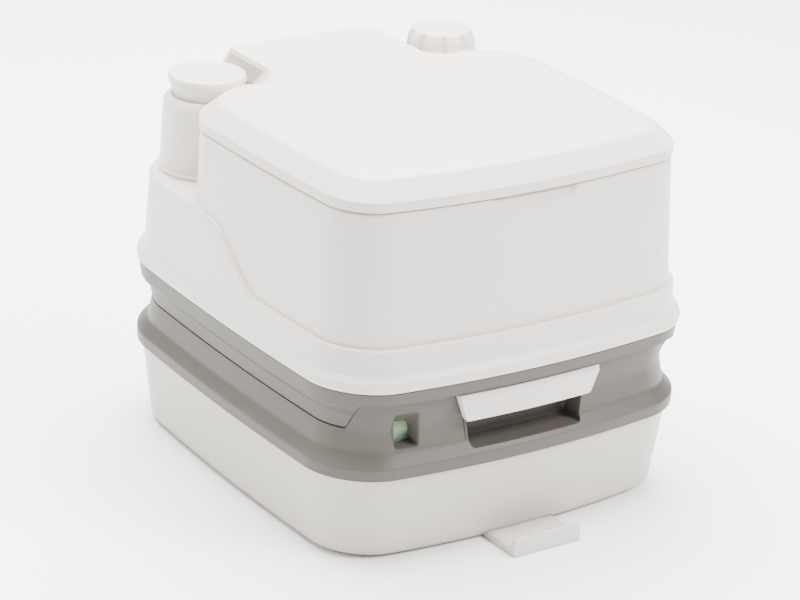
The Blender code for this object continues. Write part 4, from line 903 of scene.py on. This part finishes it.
tower_rows = [level_ring(tower_outline(WALL, 152), 152.0), level_ring(tower_outline(0, 152), 152.0)]
for height in (CREASE - 6, CREASE, 200.0, 230.0, 255.0, 264.0, 266.6, 267.5, 269.0, 271.0, 272.4):
    tower_rows.append(notched(height, 0.0))
for height, inset in ((273.2, 0.06), (273.8, 0.3), (274.2, 0.7), (TOWER_TOP, 1.3)):
    tower_rows.append(notched(height, inset))
ease_x, ease_y = tower_outline(3.0)
in_notch = (ease_y < 0) & (np.abs(ease_x) < NOTCH_HALF_TOP)
tower_rows.append(level_ring((ease_x, np.where(in_notch, ease_y + 2.2, ease_y)), TOWER_TOP))
for inset, height in ((RIM - 1.0, TOWER_TOP), (RIM - 0.3, TOWER_TOP - 0.4), (RIM, TOWER_TOP - 1.4),
                      (RIM, SEAT_DECK + 2.5), (RIM + 0.7, SEAT_DECK + 0.7), (RIM + 2.5, SEAT_DECK)):
    tower_rows.append(level_ring(tower_outline(inset), height))
deck = tower_outline(RIM + 2.5)
for half_x, half_y, height in ((98, 108, SEAT_DECK), (96.5, 106.5, SEAT_DECK - 0.6),
                               (96, 106, SEAT_DECK - WALL)):
    tower_rows.append(bowl_rim(*deck, half_x, half_y, height))
tower_rows += [level_ring(tower_outline(WALL + 2), SEAT_DECK - WALL),
               level_ring(tower_outline(WALL, 230), 230.0)]
tower = skin("seat_tower", np.stack(tower_rows), wrap=True)
finish(tower, white_shell, "flush_unit", "white_polyethylene")


# ---------------------------------------------------------------- filler column and cap
# White column over the fresh-water filler at the rear right, with a lobed screw cap.

FILLER_X, FILLER_Y = 111.0, 119.5
column_path = soften([(22.5, 268), (22.5, TOWER_TOP, 0.6), (34.0, TOWER_TOP, 1.6),
                      (37.2, SHOULDER + 0.5, 4.5), (46, SHOULDER - 0.2), (46, SHOULDER - 4),
                      (22.5, SHOULDER - 4)])
filler_column = lathe("filler_column", column_path, (FILLER_X, FILLER_Y, 0))
finish(filler_column, white_shell, "flush_unit", "white_polyethylene")

CAP_LOBES, LOBE_DEPTH = 9, 2.9
turns = np.linspace(0, 2 * np.pi, CAP_LOBES * 16, endpoint=False)
cap_wall = soften([(0, 275.9), (29.6, 275.9, 0.8), (29.8, 283, 2), (27.6, 296.5, 5), (24.0, 303.2, 4.5),
                   (17.5, 304.4, 3), (15.0, 302.6, 1.5), (0, 302.4)])
flute = np.interp(cap_wall[:, 1], [277, 281, 299, 304], [0, 1.0, 1.0, 0.0])[:, None]
flute = np.where(cap_wall[:, :1] > 18, flute, 0)
valley = np.clip(np.cos(turns * CAP_LOBES) * 1.6 - 0.5, 0, 1) ** 1.3
reach = cap_wall[:, :1] - LOBE_DEPTH * flute * valley
cap_grid = np.stack([FILLER_X + reach * np.cos(turns), FILLER_Y + reach * np.sin(turns),
                     np.broadcast_to(cap_wall[:, 1:], reach.shape)], axis=-1)
filler_cap = skin("filler_screw_cap", cap_grid, caps=False)
finish(filler_cap, white_shell, "filler", "white_polyethylene", "filler_cap")


# ---------------------------------------------------------------- flush pump
# Pull-up pump at the rear left: a white column screwed to the shoulder, a flared knob,
# and inside the water tank its cylinder, rod, piston and foot valve.

PUMP_X, PUMP_Y = -110.0, 123.0
pump_path = soften([(27.9, 271), (27.9, 277.2, 0.5), (32.6, 276.7, 2.0), (34.8, 272.5, 4.0),
                    (37.2, 218.9, 1.2), (38.2, 218.0, 0.5), (38.2, 215.2, 0.4), (30, 215.2), (30, 266)])
finish(lathe("pump_column", pump_path, (PUMP_X, PUMP_Y, 0), steps=96), white_shell, "flush_unit",
       "white_polyethylene", "pump_housing")
knob_path = soften([(0, 293.9), (27.0, 293.9, 1.0), (28.4, 294.5, 0.8), (30.0, 294.2, 1.2),
                    (31.2, 291.6, 2.2), (31.0, 288.4, 1.2), (29.4, 286.6, 1.5), (27.4, 279.5, 6),
                    (27.2, 264, 0.5), (0, 264)])
finish(lathe("pump_pull_knob", knob_path, (PUMP_X, PUMP_Y, 0), steps=96), white_shell, "pump",
       "white_polyethylene", "pump_knob")
dress(white_painted_shade, "pump_cylinder")
dress(grey_shell, "piston", "foot_valve", "delivery_hose")
dress(dark_plastic, "flush_nozzle")


# ---------------------------------------------------------------- bowl
# Hanging white bowl: a flange on the tower's floor, walls that fall in to a round
# outlet over the valve.

OUTLET_LOW, BOWL_TOP = 126.7, 265.3
BOWL_HALF_X, BOWL_HALF_Y = 92.0, 102.0
bowl_shape = soften([(OUTLET_LOW, 0.0), (141, 0.02, 10), (164, 0.28, 20), (195, 0.62, 30), (240, 0.93, 20),
                     (258, 0.985, 6), (BOWL_TOP, 1.0)], 9)
round_turn = np.linspace(0, 2 * np.pi, 120, endpoint=False)


def bowl_ring(part, grow, height):
    """Ellipse between the outlet's circle (part 0) and the bowl's opening (part 1)."""
    half_x = OUTLET_RADIUS + (BOWL_HALF_X - OUTLET_RADIUS) * part + grow
    half_y = OUTLET_RADIUS + (BOWL_HALF_Y - OUTLET_RADIUS) * part + grow
    centre_y = MOUTH_Y + (BOWL_Y - MOUTH_Y) * part
    return level_ring((half_x * np.cos(round_turn), centre_y + half_y * np.sin(round_turn)), height)


bowl_rows = [bowl_ring(part, 0, height) for height, part in bowl_shape[:-1]]
bowl_rows += [bowl_ring(1, grow, height) for grow, height in
              ((0.3, 264.6), (1.2, BOWL_TOP), (9.4, BOWL_TOP), (10, 264.7), (10, 262.3), (2.6, 262.3))]
bowl_rows += [bowl_ring(part, 2.6, height) for height, part in bowl_shape[-3:0:-1]]
bowl_rows += [bowl_ring(0, 2.8, OUTLET_LOW + WALL), bowl_ring(0, 10, OUTLET_LOW + WALL),
              bowl_ring(0, 10, OUTLET_LOW)]
bowl_liner = skin("bowl_liner", np.stack(bowl_rows), wrap=True)
finish(bowl_liner, white_shell, "flush_unit", "white_polyethylene", "bowl")


# ---------------------------------------------------------------- seat
# White seat board in the tower's recess, crowned across its width, on black rubber
# feet, with two arms back to the hinge pins.

HINGE_Y, HINGE_Z, KNUCKLE_RADIUS = 154.0, 281.0, 7.5
SEAT_BOTTOM, SEAT_TOP, SEAT_HOLE_X, SEAT_HOLE_Y = 267.0, 277.4, 94.0, 96.0


def seat_rows():
    """Rings from the board's lower outer edge over its crown to the inner edge."""
    rows = []
    for height, inset in soften([(SEAT_BOTTOM, 12), (SEAT_BOTTOM, 9.5, 0.8), (274.4, 9.6, 3.0),
                                 (SEAT_TOP, 17, 9)]):
        rows.append(level_ring(tower_outline(inset, tongue=False), height))
    x, y = tower_outline(9.5, tongue=False)
    for height, grow in soften([(SEAT_TOP, 9), (276.6, 3.0, 5), (272.5, 0.2, 2.5), (SEAT_BOTTOM, 0.0, 0.8),
                                (SEAT_BOTTOM, 3)]):
        rows.append(bowl_rim(x, y, SEAT_HOLE_X + grow, SEAT_HOLE_Y + grow, height))
    return np.stack(rows)


seat_board = skin("seat_board", seat_rows(), wrap=True)
finish(seat_board, white_shell, "seat", "white_polyethylene", "seat_ring")


def slab(name, outline, left, right_side):
    """A side-view (y, z) outline given thickness along X, its rims drawn in by an edge
    radius over the last half millimetre."""
    edge = 0.5
    outline = np.array(outline, float)
    centre = outline.mean(axis=0)
    toward = centre - outline
    toward /= np.hypot(toward[:, 0], toward[:, 1])[:, None]
    rows = []
    for x, pull in ((left, edge), (left + edge * 0.3, edge * 0.3), (left + edge, 0),
                    (right_side - edge, 0), (right_side - edge * 0.3, edge * 0.3), (right_side, edge)):
        place = outline + toward * pull
        rows.append(np.stack([np.full(len(place), x), place[:, 0], place[:, 1]], axis=-1))
    return skin(name, np.stack(rows))


def round_end(first, last):
    """Arc round the hinge line, from one bearing to another in degrees."""
    turn = np.radians(np.linspace(first, last, 17))
    return [(HINGE_Y + KNUCKLE_RADIUS * math.cos(t), HINGE_Z + KNUCKLE_RADIUS * math.sin(t)) for t in turn]


for side, label in ((-1, "left"), (1, "right")):
    arm = [(62, 270), (88, 271), (120, 275.2), (150, 275.2)] + round_end(-60, 90)
    arm += [(126, 283), (84, 275.9), (62, 274.1)]
    low, high = sorted((side * 23.0, side * 35.5))
    finish(slab("seat_arm_" + label, arm, low, high), white_shell, "seat", "white_polyethylene")
    ear = [(127, 264), (133, 264), (133, 275.5)] + round_end(-50, 90) + [(127, 288.5)]
    low, high = sorted((side * 36.5, side * 46.0))
    finish(slab("hinge_ear_" + label, ear, low, high), white_shell, "flush_unit", "white_polyethylene")
dress(rubber, "seat_bumper_front_left", "seat_bumper_front_right", "seat_bumper_rear_left",
      "seat_bumper_rear_right", "lid_buffer_left", "lid_buffer_right")


# ---------------------------------------------------------------- lid
# White lid: a low upright rim, a wide sloping border, and a gently crowned top that
# runs back as a tongue over the hinge. It is an open shell underneath.

LID_RIM, LID_BAND, LID_TOP, LID_REAR = 275.6, 283.2, 298.6, 169.0
LID_HALF = TONGUE_HALF + 4.0
CROWN, CROWN_HALF_X, CROWN_HALF_Y, CROWN_Y = 2.4, 150.0, 145.0, -50.0


def lid_ring(height, inset):
    """Outline of the lid at a height: its tongue narrows upwards less than its border."""
    pinch = float(np.interp(height, [LID_RIM, LID_BAND, LID_TOP], [0.0, 0.6, 7.6]))
    rear, half = LID_REAR + inset * 0.8 - pinch * 0.2, LID_HALF + inset - pinch
    return level_ring(tower_outline(inset, TOWER_TOP, rear, half, bay_radius=24.0), height)


def crowned(edge, lift):
    """Rings drawn in from an edge ring to the lid's middle: height rises by a squared
    parabola in x and y over the seat, level at its border and on the tongue."""
    centre = np.array([0.0, BOWL_Y])
    rows = []
    for share in np.linspace(1, 0, 22)[1:]:
        flat = centre + (edge[:, :2] - centre) * share
        dome = np.clip(1 - (flat[:, 0] / CROWN_HALF_X) ** 2, 0, 1)
        dome *= np.clip(1 - ((flat[:, 1] - CROWN_Y) / CROWN_HALF_Y) ** 2, 0, 1)
        rows.append(np.concatenate([flat, (LID_TOP + CROWN * dome ** 2 + lift)[:, None]], axis=1))
    return rows


lid_path = soften([(LID_RIM, 1.6), (LID_RIM, -0.7, 0.6), (LID_BAND, -0.95, 1.4), (296.9, 12.2, 7.5),
                   (LID_TOP, 21.0)], 9)
under_path = soften([(LID_RIM, 2.0), (LID_BAND, 2.4, 1.5), (293.6, 14.0, 6), (295.4, 22.5)])
lid_rows = [lid_ring(height, inset) for height, inset in under_path[::-1]]
lid_rows = crowned(lid_rows[0], -WALL)[::-1] + lid_rows
lid_rows += [lid_ring(height, inset) for height, inset in lid_path]
lid_rows += crowned(lid_rows[-1], 0.0)
lid_panel = skin("lid_panel", np.stack(lid_rows), caps=False)
for side, label in ((-1, "left"), (1, "right")):
    low, high = sorted((side * 21.5, side * 48.0))
    carve(lid_panel, rounded_block("hinge_gap", (low, HINGE_Y + 3, 266), (high, 182, HINGE_Z + 9), 1.0))
    lug = round_end(180, 360) + [(HINGE_Y + KNUCKLE_RADIUS, 296.2), (HINGE_Y - KNUCKLE_RADIUS, 296.2)]
    low, high = sorted((side * 49.0, side * 57.5))
    finish(slab("lid_lug_" + label, lug, low, high), white_shell, "lid", "white_polyethylene")
finish(lid_panel, white_shell, "lid", "white_polyethylene", "lid_shell")
